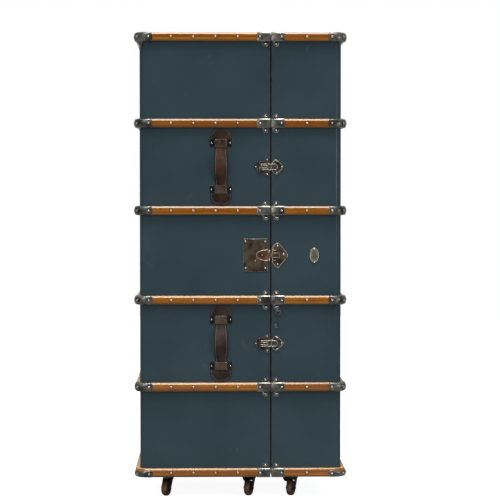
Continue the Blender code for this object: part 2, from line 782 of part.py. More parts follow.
def add_key(door):
    nail_x = DOOR_MOUTH + KEY_FROM_MOUTH
    nail_z = BANDS[3] - SLAT_HEIGHT / 2 - KEY_DROP
    root, tip = FRONT - FIT, FRONT - FIT - KEY_NAIL_LENGTH
    shank = rod((nail_x, root, nail_z), (nail_x, tip, nail_z), KEY_NAIL_RADIUS)
    head = rod((nail_x, tip + KEY_NAIL_HEAD, nail_z), (nail_x, tip, nail_z), KEY_NAIL_HEAD_RADIUS)
    piece("key_nail", combined(shank, [head]), "dark_steel", door.location, door)
    key_y = (root + tip + KEY_NAIL_HEAD) / 2
    bow_inner = KEY_BOW_RADIUS - KEY_WIRE_RADIUS
    bow_z = nail_z + KEY_NAIL_RADIUS + FIT - bow_inner
    section = arc((KEY_BOW_RADIUS, 0), KEY_WIRE_RADIUS, 0, 300, 5)
    bow = turned(section, 12)
    bow.transform(Matrix.Translation((nail_x, key_y, bow_z)) @ Matrix.Rotation(math.pi / 2, 4, "X"))
    stem_top = bow_z - bow_inner - KEY_WIRE_RADIUS / 2
    stem_end = bow_z - KEY_LENGTH
    stem = rod((nail_x, key_y, stem_top), (nail_x, key_y, stem_end), KEY_WIRE_RADIUS, 8)
    bit = block(
        (nail_x - KEY_BIT_WIDTH, key_y - KEY_WIRE_RADIUS / 2, stem_end + KEY_WIRE_RADIUS),
        (nail_x, key_y + KEY_WIRE_RADIUS / 2, stem_end + KEY_WIRE_RADIUS + KEY_BIT_HEIGHT),
    )
    piece("key", combined(bow, [stem, bit]), "dark_steel", (nail_x, key_y, nail_z), door)


# Casters
FORK_INNER = WHEEL_WIDTH / 2 + FORK_SIDE_CLEARANCE
FORK_OUTER = FORK_INNER + FORK_SIDE
CROWN_RADIUS = FORK_OUTER + CROWN_RIM


def wheel_mesh():
    """A wheel with round edges and a bore, about X, with a flat at its foot."""
    half, bore = WHEEL_WIDTH / 2, AXLE_RADIUS + AXLE_CLEARANCE
    edge = WHEEL_RADIUS - WHEEL_ROUND
    profile = [
        (bore, half),
        (edge, half),
        (WHEEL_RADIUS, half - WHEEL_ROUND),
        (WHEEL_RADIUS, -half + WHEEL_ROUND),
        (edge, -half),
        (bore, -half),
    ]
    mesh = turned(profile, WHEEL_STEPS)
    half_step = Matrix.Rotation(math.pi / WHEEL_STEPS, 4, "Z")
    mesh.transform(Matrix.Rotation(math.pi / 2, 4, "Y") @ half_step)
    return mesh


def fork_mesh():
    """Crown, race and stem on the swivel axis, with two sides down to the axle."""
    crown = rod((0, 0, CROWN_LOW), (0, 0, CROWN_HIGH), CROWN_RADIUS, 20)
    race = rod((0, 0, CROWN_HIGH - CROWN_THICKNESS / 2), (0, 0, BOTTOM - FIT), RACE_RADIUS, 16)
    stem = rod((0, 0, CROWN_HIGH), (0, 0, STEM_HOLE_TOP - FIT), STEM_RADIUS)
    shoulder = math.sqrt(CROWN_RADIUS**2 - FORK_OUTER**2)
    eye = arc((-TRAIL, AXLE_HEIGHT), FORK_EYE_RADIUS, 180, 360, 6)
    outline = [(shoulder, CROWN_HIGH - FIT), (-CROWN_RADIUS * 0.8, CROWN_HIGH - FIT), *eye]
    sides = [
        side_plate(outline, FORK_SIDE, side * (FORK_INNER + FORK_SIDE / 2)) for side in (1, -1)
    ]
    rivet = FORK_OUTER + FORK_SIDE / 2
    axle = rod((-rivet, -TRAIL, AXLE_HEIGHT), (rivet, -TRAIL, AXLE_HEIGHT), AXLE_RADIUS)
    return combined(crown, [race, stem, *sides, axle])


def add_casters(door):
    fork, wheel = fork_mesh(), wheel_mesh()
    axle = Matrix.Rotation(CASTER_YAW, 4, "Z") @ Vector((0, -TRAIL, AXLE_HEIGHT))
    for name, x, y, on_door in CASTERS:
        parent = door if on_door else None
        stem = Vector((x, y, 0))
        placed(f"{name}_caster_fork", fork, "dark_steel", stem, parent, CASTER_YAW, smooth=True)
        placed(f"{name}_caster_wheel", wheel, "wheel_wood", stem + axle, parent, CASTER_YAW, smooth=True)


# Fittings inside the main half
INNER_LEFT = LEFT + WALL + FIT
INNER_FRONT = FRONT + WALL + FIT
INNER_BACK = BACK - WALL - FIT
SHELF_EDGE = MAIN_MOUTH - SHELF_SETBACK


def main_board(low, thickness):
    """A board that fills the main half from wall to wall."""
    return block((INNER_LEFT, INNER_FRONT, low), (SHELF_EDGE, INNER_BACK, low + thickness))


RACK_LOW = CEILING - RACK_DROP - BOARD


def add_shelves():
    piece("upper_shelf", main_board(RACK_LOW - GLASS_BAY - BOARD, BOARD), "shelf_wood")
    piece("lower_shelf", main_board(FLOOR + LOWER_SHELF_UP, BOARD), "shelf_wood")


def add_glass_rack():
    """A board under the ceiling with slots, open at the mouth, for the stems of hanging glasses."""
    pitch = (INNER_BACK - INNER_FRONT) / RACK_SLOTS
    slots = []
    for i in range(RACK_SLOTS):
        middle = INNER_FRONT + pitch * (i + 0.5)
        slots.append(
            block(
                (INNER_LEFT + RACK_SOLID, middle - RACK_SLOT_WIDTH / 2, RACK_LOW - BOARD),
                (SHELF_EDGE + BOARD, middle + RACK_SLOT_WIDTH / 2, RACK_LOW + BOARD * 2),
            )
        )
    piece("glass_rack", combined(main_board(RACK_LOW, BOARD), cut=slots), "shelf_wood")


def drawer_bays():
    """Front and back of each drawer's bay in the drawer case, in y."""
    clear = INNER_BACK - INNER_FRONT - DRAWER_BOARD * (DRAWER_COUNT + 1)
    width = clear / DRAWER_COUNT
    first = INNER_FRONT + DRAWER_BOARD
    return [
        (first + i * (width + DRAWER_BOARD), first + i * (width + DRAWER_BOARD) + width)
        for i in range(DRAWER_COUNT)
    ]


def add_drawers():
    """A carcass with a bay for each drawer, and the drawers, which slide out towards +X."""
    low = FLOOR + DRAWER_CASE_UP
    bay_low, bay_high = low + DRAWER_BOARD, low + DRAWER_CASE_HEIGHT - DRAWER_BOARD
    bay_back = INNER_LEFT + DRAWER_BOARD
    bays = [
        block((bay_back, front, bay_low), (SHELF_EDGE + BOARD, back, bay_high))
        for front, back in drawer_bays()
    ]
    case = combined(main_board(low, DRAWER_CASE_HEIGHT), cut=bays)
    piece("drawer_case", case, "shelf_wood")
    tail = bay_back + DRAWER_CLEARANCE
    body_low, body_high = bay_low + FIT, bay_high - DRAWER_CLEARANCE
    for name, (front, back) in zip(("front", "rear"), drawer_bays()):
        near, far = front + DRAWER_CLEARANCE, back - DRAWER_CLEARANCE
        body = block((tail, near, body_low), (SHELF_EDGE, far, body_high))
        inside = block(
            (tail + DRAWER_SIDE, near + DRAWER_SIDE, body_low + DRAWER_SIDE),
            (SHELF_EDGE - DRAWER_FRONT, far - DRAWER_SIDE, body_high + DRAWER_SIDE),
        )
        middle = (near + far) / 2
        notch = rod(
            (SHELF_EDGE - DRAWER_FRONT * 1.5, middle, body_high),
            (SHELF_EDGE + DRAWER_FRONT, middle, body_high),
            FINGER_NOTCH_RADIUS,
            16,
        )
        origin = (SHELF_EDGE, middle, body_low)
        piece(f"{name}_drawer", combined(body, cut=[inside, notch]), "shelf_wood", origin)


# Bottle bins inside the door half
def add_bins(door):
    near = DOOR_MOUTH + SHELF_SETBACK
    far = RIGHT - WALL - FIT
    for name, up in (("lower", 0.0), ("middle", MIDDLE_BIN_UP), ("upper", UPPER_BIN_UP)):
        low = FLOOR + FIT + up
        solid = block((near, INNER_FRONT, low), (far, INNER_BACK, low + BIN_FENCE_HEIGHT))
        well = block(
            (near + BIN_BOARD, INNER_FRONT - WALL, low + BIN_BOARD),
            (far + WALL, INNER_BACK + WALL, low + BIN_FENCE_HEIGHT + BIN_BOARD),
        )
        mesh = combined(solid, cut=[well])
        piece(f"{name}_bottle_bin", mesh, "shelf_wood", door.location, door)


def build():
    door = axis_empty("door_hinge_axis", HINGE_AXIS)
    piece("main_shell", shell(LEFT, MAIN_MOUTH, False), "covering")
    piece("door_shell", shell(RIGHT, DOOR_MOUTH, True), "covering", door.location, door)
    add_bands("main", LEFT, MAIN_MOUTH)
    add_bands("door", RIGHT, DOOR_MOUTH, door)
    for name, height in (("upper", bay_middle(1)), ("middle", bay_middle(3)), ("lower", bay_middle(5))):
        piece(f"{name}_hinge_main_leaf", hinge_leaf(height, False), "dark_steel")
        leaf = hinge_leaf(height, True)
        piece(f"{name}_hinge_door_leaf", leaf, "dark_steel", door.location, door)
    add_lock_plate()
    add_hasp(door)
    for name, bay in (("upper", 2), ("lower", 4)):
        add_clasp(name, bay_middle(bay), door)
        add_handle(name, bay_middle(bay))
    add_plaque(door)
    add_key(door)
    add_casters(door)
    add_shelves()
    add_glass_rack()
    add_drawers()
    add_bins(door)


build()
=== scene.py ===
"""Looks of a tall bar trunk on casters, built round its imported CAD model.

Metres, +Z up. The front faces -Y, and the door half is on the +X side.
"""

import math

import bmesh
import bpy
from mathutils import Matrix, Vector


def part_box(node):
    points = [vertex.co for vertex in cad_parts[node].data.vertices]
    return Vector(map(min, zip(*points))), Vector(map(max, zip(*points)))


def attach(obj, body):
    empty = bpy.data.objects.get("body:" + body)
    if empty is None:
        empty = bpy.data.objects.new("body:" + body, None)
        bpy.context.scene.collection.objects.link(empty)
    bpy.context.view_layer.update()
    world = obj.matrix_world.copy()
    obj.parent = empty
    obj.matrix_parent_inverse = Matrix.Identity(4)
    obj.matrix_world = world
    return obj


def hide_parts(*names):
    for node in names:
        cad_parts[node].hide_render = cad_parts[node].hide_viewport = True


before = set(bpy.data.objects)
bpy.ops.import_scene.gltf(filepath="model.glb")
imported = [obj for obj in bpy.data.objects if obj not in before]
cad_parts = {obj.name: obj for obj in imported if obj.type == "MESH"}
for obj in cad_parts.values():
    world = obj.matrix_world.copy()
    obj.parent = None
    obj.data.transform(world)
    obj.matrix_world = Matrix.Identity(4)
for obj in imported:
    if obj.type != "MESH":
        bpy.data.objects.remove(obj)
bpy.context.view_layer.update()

# Case shells
# Each half is a plywood box, open at the split, with its outer upright edges rounded over.
# Outside it is covered in slate-blue fibre cloth, glued down; inside it has a woven linen lining.
WALL = 0.012
CORNER_RADIUS = 0.020
CORNER_STEPS = 8
CASE_SOFTENING = 0.0014
SAME_POINT = 1e-5
SAME_PLANE = math.radians(0.5)
FLAT_FACE_WEIGHT = 90
BUMP_STRENGTH = 0.8
CLOTH_DEPTH = 0.00025
LINEN_THREADS = 500.0  # to the metre
LINEN_DEPTH = 0.0003
SLATE = (0.0169, 0.0354, 0.0456, 1)
SLATE_PALE = (0.0227, 0.0447, 0.0570, 1)
SLATE_WORN = (0.085, 0.105, 0.115, 1)
LINEN = (0.33, 0.25, 0.16, 1)
LINEN_SHADE = (0.22, 0.16, 0.10, 1)
main_low, main_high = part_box("main_shell")
door_low, door_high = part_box("door_shell")
FRONT, BACK = main_low.y, main_high.y
BOTTOM, TOP = main_low.z, main_high.z
HALVES = {  # the far side, the mouth, and the way from one to the other
    "main": (main_low.x, main_high.x, 1),
    "door": (door_high.x, door_low.x, -1),
}


def arc(centre, radius, start, end, steps):
    """Points along an arc between two angles in degrees, both ends included."""
    points = []
    for i in range(steps + 1):
        angle = math.radians(start + (end - start) * i / steps)
        points.append((centre[0] + radius * math.cos(angle), centre[1] + radius * math.sin(angle)))
    return points


def finished(work):
    """The mesh of a bmesh, which is freed."""
    mesh = bpy.data.meshes.new("piece")
    work.to_mesh(mesh)
    work.free()
    return mesh


def loft(rings):
    """Closed mesh through rings of points, with both ends filled."""
    work = bmesh.new()
    rows = [[work.verts.new(point) for point in ring] for ring in rings]
    for here, there in zip(rows, rows[1:]):
        for i in range(len(here)):
            j = (i + 1) % len(here)
            work.faces.new((here[i], here[j], there[j], there[i])).smooth = True
    work.faces.new(rows[0])
    work.faces.new(rows[-1])
    bmesh.ops.recalc_face_normals(work, faces=work.faces)
    return finished(work)


def prism(outline, low, high):
    """Mesh of a flat outline in XY between two heights."""
    return loft([[(x, y, height) for x, y in outline] for height in (low, high)])


def block(low, high):
    """Mesh of a box between two corners."""
    (x0, x1), (y0, y1) = sorted((low[0], high[0])), sorted((low[1], high[1]))
    return prism([(x0, y0), (x1, y0), (x1, y1), (x0, y1)], low[2], high[2])


def in_scene(name, data):
    """A new object in the scene."""
    obj = bpy.data.objects.new(name, data)
    bpy.context.scene.collection.objects.link(obj)
    return obj


def helper(data):
    """An object that only carries data through its modifiers."""
    return in_scene("helper", data)


def evaluated(obj):
    """The mesh of a helper with its modifiers applied. The helper is removed."""
    graph = bpy.context.evaluated_depsgraph_get()
    mesh = bpy.data.meshes.new_from_object(
        obj.evaluated_get(graph), preserve_all_data_layers=True, depsgraph=graph
    )
    bpy.data.objects.remove(obj)
    return mesh


def carved(mesh, cutter):
    """A mesh with another closed mesh cut out of it."""
    body, tool = helper(mesh), helper(cutter)
    body.modifiers.new("cut", "BOOLEAN").object = tool
    mesh = evaluated(body)
    bpy.data.objects.remove(tool)
    return mesh


def flattened(mesh):
    """A mesh whose large faces look flat beside the small ones that round its edges."""
    body = helper(mesh)
    body.modifiers.new("flat faces", "WEIGHTED_NORMAL").weight = FLAT_FACE_WEIGHT
    return evaluated(body)


def softened(mesh, width, steps=2, limit=35):
    """Rounds a mesh's sharp edges and marks the new faces, so that wear can follow the edges."""
    work = bmesh.new()
    work.from_mesh(mesh)
    bmesh.ops.remove_doubles(work, verts=work.verts, dist=SAME_POINT)
    bmesh.ops.dissolve_limit(
        work, angle_limit=SAME_PLANE, verts=work.verts, edges=work.edges, delimit={"MATERIAL"}
    )
    edge = work.faces.layers.float.new("edge")
    sharp = [e for e in work.edges if e.is_manifold and e.calc_face_angle() > math.radians(limit)]
    rounded = bmesh.ops.bevel(
        work, geom=sharp, offset=width, segments=steps, profile=0.5, affect="EDGES", clamp_overlap=True
    )
    for face in rounded["faces"]:
        face[edge] = 1.0
    for face in work.faces:
        face.smooth = True
    return flattened(finished(work))


def shown(name, mesh, body, materials=(), replaced=()):
    """A finished piece that rides on a body and stands for the CAD nodes that it replaces."""
    for material in materials:
        mesh.materials.append(material)
    obj = in_scene(name, mesh)
    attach(obj, body)
    if replaced:
        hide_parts(*replaced)
    return obj


def node(tree, kind, inputs=None, **settings):
    """A new node with its settings, and with its sockets set to values or linked to other sockets."""
    made = tree.nodes.new(kind)
    for name, value in settings.items():
        setattr(made, name, value)
    for socket, value in (inputs or {}).items():
        if isinstance(value, bpy.types.NodeSocket):
            tree.links.new(value, made.inputs[socket])
        else:
            made.inputs[socket].default_value = value
    return made


def out_of(tree, kind, inputs=None, **settings):
    """First output of a new node."""
    return node(tree, kind, inputs, **settings).outputs[0]


def mixed(tree, factor, first, second):
    """Colour socket between two colours."""
    inputs = {0: factor, 6: first, 7: second}
    return node(tree, "ShaderNodeMix", inputs, data_type="RGBA").outputs[2]


def ranged(tree, value, from_low, from_high, to_low, to_high):
    """Value socket moved from one range to another, and kept inside it."""
    return out_of(tree, "ShaderNodeMapRange", {0: value, 1: from_low, 2: from_high, 3: to_low, 4: to_high})


def reckoned(tree, operation, first, second=0.0):
    """Value socket of one step of arithmetic."""
    return out_of(tree, "ShaderNodeMath", {0: first, 1: second}, operation=operation)


def noise(tree, vector, scale, detail=3.0, distortion=0.0):
    """Value socket of a cloudy noise."""
    inputs = {"Vector": vector, "Scale": scale, "Detail": detail, "Distortion": distortion}
    return node(tree, "ShaderNodeTexNoise", inputs).outputs["Fac"]


def own_place(tree):
    """Socket of a piece's own coordinates, in metres."""
    return node(tree, "ShaderNodeTexCoord").outputs["Object"]


def axes_of(tree, vector):
    """Sockets X, Y and Z of a vector."""
    return node(tree, "ShaderNodeSeparateXYZ", {0: vector}).outputs


def shader_group(name, inputs, outputs):
    """A shader node group with named inputs, where None means a vector, and named number outputs."""
    group = bpy.data.node_groups.new(name, "ShaderNodeTree")
    for label, value in inputs.items():
        kind = "NodeSocketVector" if value is None else "NodeSocketFloat"
        socket = group.interface.new_socket(label, in_out="INPUT", socket_type=kind)
        if value is not None:
            socket.default_value = value
    for label in outputs:
        group.interface.new_socket(label, in_out="OUTPUT", socket_type="NodeSocketFloat")
    return group, node(group, "NodeGroupInput").outputs


def placed(tree, group, **inputs):
    """Outputs of a shader group, placed in a material with its own values."""
    return node(tree, "ShaderNodeGroup", inputs, node_tree=group).outputs


# Slow and fine changes of tone that any glued, painted or handled surface has
FINE_MOTTLE = 23.0  # times as fine as the broad one
mottle, given = shader_group("mottle", {"Scale": 8.0}, ("Broad", "Fine"))
broad = noise(mottle, own_place(mottle), given["Scale"], 4.0)
fine = noise(mottle, own_place(mottle), reckoned(mottle, "MULTIPLY", given["Scale"], FINE_MOTTLE))
node(mottle, "NodeGroupOutput", {"Broad": broad, "Fine": fine})

# Rubbed patches along the edges that were rounded, and painted highlights on the chamfers and nail crowns
# that pieces mark as edges
FULL_COVER = 0.97
PATCH_FADE = 0.06
edge_wear_and_highlight, given = shader_group("edge_wear_and_highlight", {"Scale": 60.0, "Cover": 0.5}, ("Mask",))
rounded_edge = node(edge_wear_and_highlight, "ShaderNodeAttribute", attribute_name="edge").outputs["Fac"]
wear_and_highlight_mark = noise(edge_wear_and_highlight, own_place(edge_wear_and_highlight), given["Scale"], 5.0)
bare_and_lit = reckoned(edge_wear_and_highlight, "SUBTRACT", FULL_COVER, given["Cover"])
patches = ranged(edge_wear_and_highlight, reckoned(edge_wear_and_highlight, "SUBTRACT", wear_and_highlight_mark, bare_and_lit), 0.0, PATCH_FADE, 0.0, 1.0)
node(edge_wear_and_highlight, "NodeGroupOutput", {"Mask": reckoned(edge_wear_and_highlight, "MULTIPLY", rounded_edge, patches)})

# Small pebbles of embossed cloth and leather, as a height
PEBBLE_ROUGHNESS = 2.3  # times as fine as the pebbles
pebble, given = shader_group("pebble", {"Size": 900.0}, ("Height",))
cells = {"Vector": own_place(pebble), "Scale": given["Size"], "Smoothness": 0.6}
cell = node(pebble, "ShaderNodeTexVoronoi", cells, feature="SMOOTH_F1").outputs["Distance"]
roughening = noise(pebble, own_place(pebble), reckoned(pebble, "MULTIPLY", given["Size"], PEBBLE_ROUGHNESS))
node(pebble, "NodeGroupOutput", {"Height": reckoned(pebble, "SUBTRACT", roughening, cell)})


def finish(name, **values):
    """A new material, its tree and its shader, with the shader's constant values set."""
    material = bpy.data.materials.new(name)
    material.use_nodes = True
    shader = material.node_tree.nodes["Principled BSDF"]
    for socket, value in values.items():
        shader.inputs[socket.replace("_", " ")].default_value = value
    return material, material.node_tree, shader


def wired(tree, shader, colour, roughness, height, depth):
    """Links a finish: its colour, its roughness, and a height in metres for its bump."""
    tree.links.new(colour, shader.inputs["Base Color"])
    tree.links.new(roughness, shader.inputs["Roughness"])
    inputs = {"Height": height, "Distance": depth, "Strength": BUMP_STRENGTH}
    tree.links.new(out_of(tree, "ShaderNodeBump", inputs), shader.inputs["Normal"])


def covering_finish(name, dark, pale, worn):
    """Fibre cloth with a fine pebble, a slow change of tone, and pale rubbed edges."""
    material, tree, shader = finish(name, Specular_IOR_Level=0.12, Coat_Weight=0.10, Coat_Roughness=0.2)
    tone = placed(tree, mottle, Scale=4.5)
    rub = placed(tree, edge_wear_and_highlight, Scale=90.0, Cover=0.46)["Mask"]
    cloth = mixed(tree, ranged(tree, tone["Broad"], 0.35, 0.65, 0.0, 1.0), dark, pale)
    scuffs = ranged(tree, noise(tree, own_place(tree), 17.0, 8.0, 1.5), 0.66, 0.80, 0.0, 0.30)
    marked = mixed(tree, reckoned(tree, "MAXIMUM", rub, scuffs), cloth, worn)
    gloss = ranged(tree, tone["Fine"], 0.3, 0.7, 0.48, 0.64)
    wired(tree, shader, marked, gloss, placed(tree, pebble, Size=1100.0)["Height"], CLOTH_DEPTH)
    return material


def woven_finish(name, thread, shade, threads):
    """Plain weave: over and under threads from two crossed waves."""
    material, tree, shader = finish(name, Specular_IOR_Level=0.2, Sheen_Weight=0.3)
    axes = axes_of(tree, own_place(tree))
    waves = []
    for axis in (reckoned(tree, "ADD", axes["X"], axes["Y"]), axes["Z"]):
        waves.append(reckoned(tree, "SINE", reckoned(tree, "MULTIPLY", axis, threads * math.tau)))
    weave = reckoned(tree, "MULTIPLY", *waves)
    tone = placed(tree, mottle, Scale=6.0)
    depth = reckoned(tree, "ADD", ranged(tree, weave, -1.0, 1.0, 0.0, 0.6), tone["Broad"])
    cloth = mixed(tree, ranged(tree, depth, 0.4, 1.1, 0.0, 1.0), shade, thread)
    wired(tree, shader, cloth, ranged(tree, tone["Fine"], 0.3, 0.7, 0.75, 0.95), weave, LINEN_DEPTH)
    return material


def shell_mesh(far, mouth, inward):
    """One half of the case: covering outside as its first material, lining inside as its second."""
    middle = far + inward * CORNER_RADIUS
    side = 180 if inward > 0 else 360
    outline = [
        (mouth, FRONT),
        *arc((middle, FRONT + CORNER_RADIUS), CORNER_RADIUS, 270, side, CORNER_STEPS),
        *arc((middle, BACK - CORNER_RADIUS), CORNER_RADIUS, side % 360, 90, CORNER_STEPS),
        (mouth, BACK),
    ]
    cavity_low = (far + inward * WALL, FRONT + WALL, BOTTOM + WALL)
    cavity_high = (mouth + inward * WALL, BACK - WALL, TOP - WALL)
    mesh = carved(prism(outline, BOTTOM, TOP), block(cavity_low, cavity_high))
    half_wall = WALL / 2
    for face in mesh.polygons:
        x, y, z = face.center
        deep = (mouth - x) * inward > half_wall and (x - far) * inward > half_wall
        within = FRONT + half_wall < y < BACK - half_wall and BOTTOM + half_wall < z < TOP - half_wall
        face.material_index = 1 if deep and within else 0
    return softened(mesh, CASE_SOFTENING)


covering = covering_finish("slate_covering", SLATE, SLATE_PALE, SLATE_WORN)
lining = woven_finish("linen_lining", LINEN, LINEN_SHADE, LINEN_THREADS)
for half, span in HALVES.items():
    shown(f"{half}_case", shell_mesh(*span), half, (covering, lining), (f"{half}_shell",))

# Mouth bindings
# A strip of vulcanised fibre is folded over the edge of each half where the two halves meet.
# It is glued flat, close to the covering in colour, and the ends of the slats lie over it.
BINDING_WIDTH = 0.0050
BINDING_THICKNESS = 0.0007
BINDING_LIP = 0.0001
BINDING_SOFTENING = 0.6 * BINDING_THICKNESS
CUTTER_SPARE = 1.0  # past what it cuts
FIBRE = (0.019, 0.030, 0.035, 1)
FIBRE_PALE = (0.030, 0.043, 0.049, 1)


def binding_mesh(far, mouth, inward):
    """A flat hoop round the mouth of one half, with a lip past its edge."""
    start, end = mouth - inward * BINDING_WIDTH, mouth + inward * BINDING_LIP
    proud, sunk = BINDING_THICKNESS, WALL / 2
    outer = block((start, FRONT - proud, BOTTOM - proud), (end, BACK + proud, TOP + proud))
    hole_low = (start - CUTTER_SPARE, FRONT + sunk, BOTTOM + sunk)
    hole_high = (end + CUTTER_SPARE, BACK - sunk, TOP - sunk)
    return softened(carved(outer, block(hole_low, hole_high)), BINDING_SOFTENING)


binding = covering_finish("fibre_binding", FIBRE, FIBRE_PALE, SLATE_WORN)
for half, span in HALVES.items():
    shown(f"{half}_mouth_binding", binding_mesh(*span), half, (binding,))

# Slat bands
# Six beech slats run round each half, bent at the upright corners, and are nailed on.
# They are chamfered outside, stained orange-brown and varnished, with painted light on their tops, pale and
# unvarnished, and painted shade along their lower edges.
SLAT_HEIGHT = 0.027
SLAT_THICKNESS = 0.014
SLAT_CHAMFER = 0.0056
CHAMFER_SLOPE = 1.6  # its height over its depth
SLAT_EASE = 0.0016
SLAT_SEAT = 0.0003  # slat off the case
BEND_STEPS = 10
EASE_STEPS = 4
BAND_COUNT = 6
GRAIN_SHIFT = 37.0  # along the wood for each metre up, so that no two bands look the same
# Painted shade along a slat's lower edge, and painted light on its top
LOWER_SHADE_TOP = -0.42 * SLAT_HEIGHT  # from the slat's middle
LOWER_SHADE_FADE = 0.0025
TOP_LIGHT_FROM = 0.486 * SLAT_HEIGHT
TOP_LIGHT_FADE = 0.0003
TOP_LIGHT_SHARE = 0.9
PORE_DEPTH = 0.00012
GROWN_CREASE = 40  # degrees
BEECH_DARK = (0.058, 0.018, 0.002, 1)
BEECH = (0.176, 0.051, 0.001, 1)
BEECH_PALE = (0.310, 0.118, 0.003, 1)
# Colour of the painted light on the slats' tops
BEECH_TOP_LIGHT = (0.54, 0.31, 0.13, 1)
band_boxes = [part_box(f"main_slat_band_{number}") for number in range(1, BAND_COUNT + 1)]
BANDS = [(low.z + high.z) / 2 for low, high in band_boxes]


def geometry_tree(name, sizes):
    """A Geometry Nodes tree with named sizes and a material as its inputs."""
    tree = bpy.data.node_groups.new(name, "GeometryNodeTree")
    tree.interface.new_socket("Geometry", in_out="INPUT", socket_type="NodeSocketGeometry")
    for label, value in sizes.items():
        kind = "NodeSocketInt" if isinstance(value, int) else "NodeSocketFloat"
        tree.interface.new_socket(label, in_out="INPUT", socket_type=kind).default_value = value
    tree.interface.new_socket("Material", in_out="INPUT", socket_type="NodeSocketMaterial")
    tree.interface.new_socket("Geometry", in_out="OUTPUT", socket_type="NodeSocketGeometry")
    return tree, node(tree, "NodeGroupInput").outputs


def tree_end(tree, given, geometry):
    """Ends a tree with smooth faces, real geometry and its material."""
    smooth = out_of(tree, "GeometryNodeSetShadeSmooth", {"Geometry": geometry})
    real = out_of(tree, "GeometryNodeRealizeInstances", {"Geometry": smooth})
    inputs = {"Geometry": real, "Material": given["Material"]}
    node(tree, "NodeGroupOutput", {"Geometry": out_of(tree, "GeometryNodeSetMaterial", inputs)})


def creased(mesh, degrees):
    """A mesh that looks sharp where its faces turn by more than an angle."""
    mesh.set_sharp_from_angle(angle=math.radians(degrees))
    return mesh


def grown(tree, seed, material, **sizes):
    """Plain mesh that a tree makes from a seed mesh. Its inputs are set by their identifiers."""
    obj = helper(seed)
    modifier = obj.modifiers.new(tree.name, "NODES")
    modifier.node_group = tree
    values = {"Material": material, **sizes}
    for socket in tree.interface.items_tree:
        if socket.in_out == "INPUT" and socket.name in values:
            modifier[socket.identifier] = values[socket.name]
    return creased(evaluated(obj), GROWN_CREASE)


def captured(tree, geometry, vector):
    """Geometry that carries a vector of each point through the next step, and that vector."""
    capture = node(tree, "GeometryNodeCaptureAttribute")
    capture.capture_items.new("VECTOR", "Kept")
    tree.links.new(geometry, capture.inputs[0])
    tree.links.new(vector, capture.inputs[1])
    return capture.outputs[0], capture.outputs[1]


def vector_of(tree, **parts):
    """Vector socket of its X, Y and Z parts, where a part left out is nought."""
    return out_of(tree, "ShaderNodeCombineXYZ", parts)


def filleted(tree, line, count, radius):
    """A line with its corners rounded in a number of steps, or cut off in one."""
    inputs = {"Curve": line, "Count": count, "Radius": radius}
    return out_of(tree, "GeometryNodeFilletCurve", inputs, mode="POLY")


def slat_tree():
    """Sweeps a slat's section along lines round the case, and keeps each point's place in the wood."""
    sizes = {"Height": SLAT_HEIGHT, "Thickness": SLAT_THICKNESS, "Chamfer": SLAT_CHAMFER}
    more = {"Slope": CHAMFER_SLOPE, "Ease": SLAT_EASE, "Bend": CORNER_RADIUS}
    tree, given = geometry_tree("slat_band", {**sizes, **more})
    line = out_of(tree, "GeometryNodeMeshToCurve", {"Mesh": given["Geometry"]})
    bent = filleted(tree, line, BEND_STEPS, given["Bend"])
    upright = out_of(tree, "GeometryNodeSetCurveNormal", {"Curve": bent}, mode="Z_UP")
    length = node(tree, "GeometryNodeSplineParameter").outputs["Length"]
    position = out_of(tree, "GeometryNodeInputPosition")
    start = reckoned(tree, "MULTIPLY", axes_of(tree, position)["Z"], GRAIN_SHIFT)
    path, along = captured(tree, upright, vector_of(tree, X=reckoned(tree, "ADD", length, start)))

    half = reckoned(tree, "MULTIPLY", given["Height"], 0.5)
    below = reckoned(tree, "MULTIPLY", given["Height"], -0.5)
    deep = reckoned(tree, "MULTIPLY", given["Thickness"], given["Slope"])
    corners = [(0.0, below), (deep, below), (deep, half), (0.0, half)]
    points = {f"Point {i}": vector_of(tree, X=out, Y=up) for i, (out, up) in enumerate(corners, start=1)}
    square = out_of(tree, "GeometryNodeCurvePrimitiveQuadrilateral", points, mode="POINTS")
    middle = reckoned(tree, "MULTIPLY", given["Thickness"], 0.5)
    outer = reckoned(tree, "GREATER_THAN", axes_of(tree, position)["X"], middle)
    chamfered = filleted(tree, square, 1, reckoned(tree, "MULTIPLY", outer, given["Chamfer"]))
    narrow = vector_of(tree, X=reckoned(tree, "DIVIDE", 1.0, given["Slope"]), Y=1.0, Z=1.0)
    section = out_of(tree, "GeometryNodeTransform", {"Geometry": chamfered, "Scale": narrow})
    eased = filleted(tree, section, EASE_STEPS, reckoned(tree, "MULTIPLY", outer, given["Ease"]))
    section, place = captured(tree, eased, position)

    swept = {"Curve": path, "Profile Curve": section, "Fill Caps": True}
    mesh = out_of(tree, "GeometryNodeCurveToMesh", swept)
    parts = axes_of(tree, place)
    in_section = vector_of(tree, Y=parts["X"], Z=reckoned(tree, "MULTIPLY", parts["Y"], -1.0))
    grain = out_of(tree, "ShaderNodeVectorMath", {0: along, 1: in_section}, operation="ADD")
    stored = {"Geometry": mesh, "Name": "grain", "Value": grain}
    tree_end(tree, given, out_of(tree, "GeometryNodeStoreNamedAttribute", stored, data_type="FLOAT_VECTOR"))
    return tree


# Long soft streaks and short dark pores of a straight-grained wood, along the vector's x
wood_grain, given = shader_group("wood_grain", {"Vector": None}, ("Streak", "Pore"))
streaks = {"Vector": given["Vector"], "Scale": (1.6, 110.0, 110.0)}
pores = {"Vector": given["Vector"], "Scale": (26.0, 1500.0, 1500.0)}
streak = noise(wood_grain, out_of(wood_grain, "ShaderNodeMapping", streaks), 1.0, 5.0, 0.6)
pore = noise(wood_grain, out_of(wood_grain, "ShaderNodeMapping", pores), 1.0, 2.0)
node(wood_grain, "NodeGroupOutput", {"Streak": streak, "Pore": pore})


